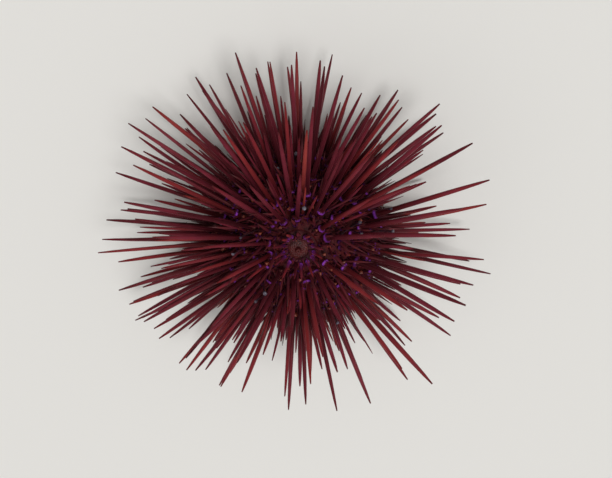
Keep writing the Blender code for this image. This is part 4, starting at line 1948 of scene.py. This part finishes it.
@dataclass(frozen=True)
class Studio:
    """A plain pale floor and plain soft light."""

    floor_half: float = 6.0
    floor_colour: str = "#e2e0dc"
    floor_roughness: float = 0.8
    world_colour: str = "#dcdcda"
    world_strength: float = 0.46
    backdrop_rise: float = 0.55
    key_strength: float = 1.9
    key_angle_deg: float = 22.0
    key_from: tuple[float, float, float] = (0.20, -0.02, 0.75)
    fill_strength: float = 0.34
    fill_angle_deg: float = 60.0
    fill_from: tuple[float, float, float] = (-0.6, -0.35, 0.55)

    def floor(self) -> None:
        """Lays the floor."""
        half = self.floor_half
        corners = [(-half, -half, 0.0), (half, -half, 0.0), (half, half, 0.0), (-half, half, 0.0)]
        mesh = bpy.data.meshes.new("floor")
        mesh.from_pydata(corners, [], [(0, 1, 2, 3)])
        material, tree = new_material("floor_matt_paint")
        paint = {"Base Color": linear(self.floor_colour), "Roughness": self.floor_roughness}
        add_node(tree, "OutputMaterial", {"Surface": add_node(tree, "BsdfPrincipled", paint)})
        mesh.materials.append(material)
        floor = bpy.data.objects.new("floor", mesh)
        bpy.context.scene.collection.objects.link(floor)

    def light(
        self, name: str, source: tuple[float, float, float], strength: float, angle_deg: float
    ) -> None:
        """Sets a wide, far light, so that the floor is evenly lit as far as it reaches.

        Args:
            name: the light's name.
            source: the place that it shines from, towards the origin.
            strength: its strength.
            angle_deg: how wide it is in the sky.
        """
        data = bpy.data.lights.new(name, "SUN")
        data.energy = strength
        data.angle = math.radians(angle_deg)
        lamp = bpy.data.objects.new(name, data)
        lamp.location = source
        lamp.rotation_euler = (-Vector(source)).to_track_quat("-Z", "Y").to_euler()
        bpy.context.scene.collection.objects.link(lamp)

    def sky(self) -> None:
        """Sets a plain pale world, brighter where it is seen straight than as a light."""
        world = bpy.data.worlds.new("studio_world")
        world.use_nodes = True
        tree = world.node_tree
        tree.nodes.clear()
        seen = add_node(tree, "LightPath", output="Is Camera Ray")
        strength = add_node(
            tree,
            "Math",
            {0: seen, 1: self.backdrop_rise, 2: self.world_strength},
            operation="MULTIPLY_ADD",
        )
        pale = {"Color": linear(self.world_colour), "Strength": strength}
        add_node(tree, "OutputWorld", {"Surface": add_node(tree, "Background", pale)})
        bpy.context.scene.world = world
        bpy.context.scene.view_settings.view_transform = "Standard"

    def build(self) -> None:
        """Sets the floor, the lights and the world."""
        self.floor()
        self.light("key_light", self.key_from, self.key_strength, self.key_angle_deg)
        self.light("fill_light", self.fill_from, self.fill_strength, self.fill_angle_deg)
        self.sky()


@dataclass(frozen=True)
class PhotoView:
    """The camera at the photograph's viewing angle: from above, a little towards +Y.

    The target is the middle of the picture, measured from the test's axis on the floor.
    """

    axis: Array
    target: tuple[float, float, float] = (0.0017, -0.0003, 0.016)
    tilt_deg: float = 18.0
    distance: float = 0.235
    lens_mm: float = 60.0
    nearest: float = 0.01
    farthest: float = 20.0

    def build(self) -> None:
        """Places the camera and makes it the scene's."""
        tilt = math.radians(self.tilt_deg)
        data = bpy.data.cameras.new("photo_camera")
        data.lens = self.lens_mm
        data.clip_start = self.nearest
        data.clip_end = self.farthest
        camera = bpy.data.objects.new("photo_camera", data)
        back = Vector((0.0, math.sin(tilt), math.cos(tilt)))
        camera.location = Vector((*self.axis, 0.0)) + Vector(self.target) + back * self.distance
        camera.rotation_euler = (-tilt, 0.0, 0.0)
        bpy.context.scene.collection.objects.link(camera)
        bpy.context.scene.camera = camera


def test_axis() -> Array:
    """Place of the test's axis on the floor, from the middle of the round anal solid."""
    low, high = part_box("periproct")
    return np.array(((low.x + high.x) / 2.0, (low.y + high.y) / 2.0))


def main() -> None:
    """Builds the urchin, its studio and its camera."""
    logging.basicConfig(level=logging.INFO, format="%(name)s: %(message)s")
    axis, shape, rays = test_axis(), TestShape(), Rays()
    bed = SpineBed(shape, rays)
    spine_calcite, short_calcite = SpineFinish().material(), SHORT_CALCITE.material()
    LongSpines(bed, axis, spine_calcite).dress()
    TestSkin(bed, axis, TEST_SKIN.material()).dress()
    ShortSpines(short_calcite).dress(bed, axis)
    TinySpines(short_calcite).dress(bed, axis)
    Pincers(PINCER_SKIN.material()).dress(bed, axis)
    TubeFeet(FOOT_SKIN.material()).dress(bed, axis)
    ApicalDisc(shape, rays, axis, APICAL_LIME.material(), spine_calcite).dress()
    AnalDome(shape, axis, ANAL_SKIN.material()).dress()
    lips, ivory, feet = MOUTH_SKIN.material(), TOOTH_LIME.material(), MOUTH_FOOT_SKIN.material()
    Mouth(shape, rays, axis, lips, ivory, feet).dress()
    Studio().build()
    PhotoView(axis).build()
    bpy.context.view_layer.update()


if __name__ == "__main__":
    main()
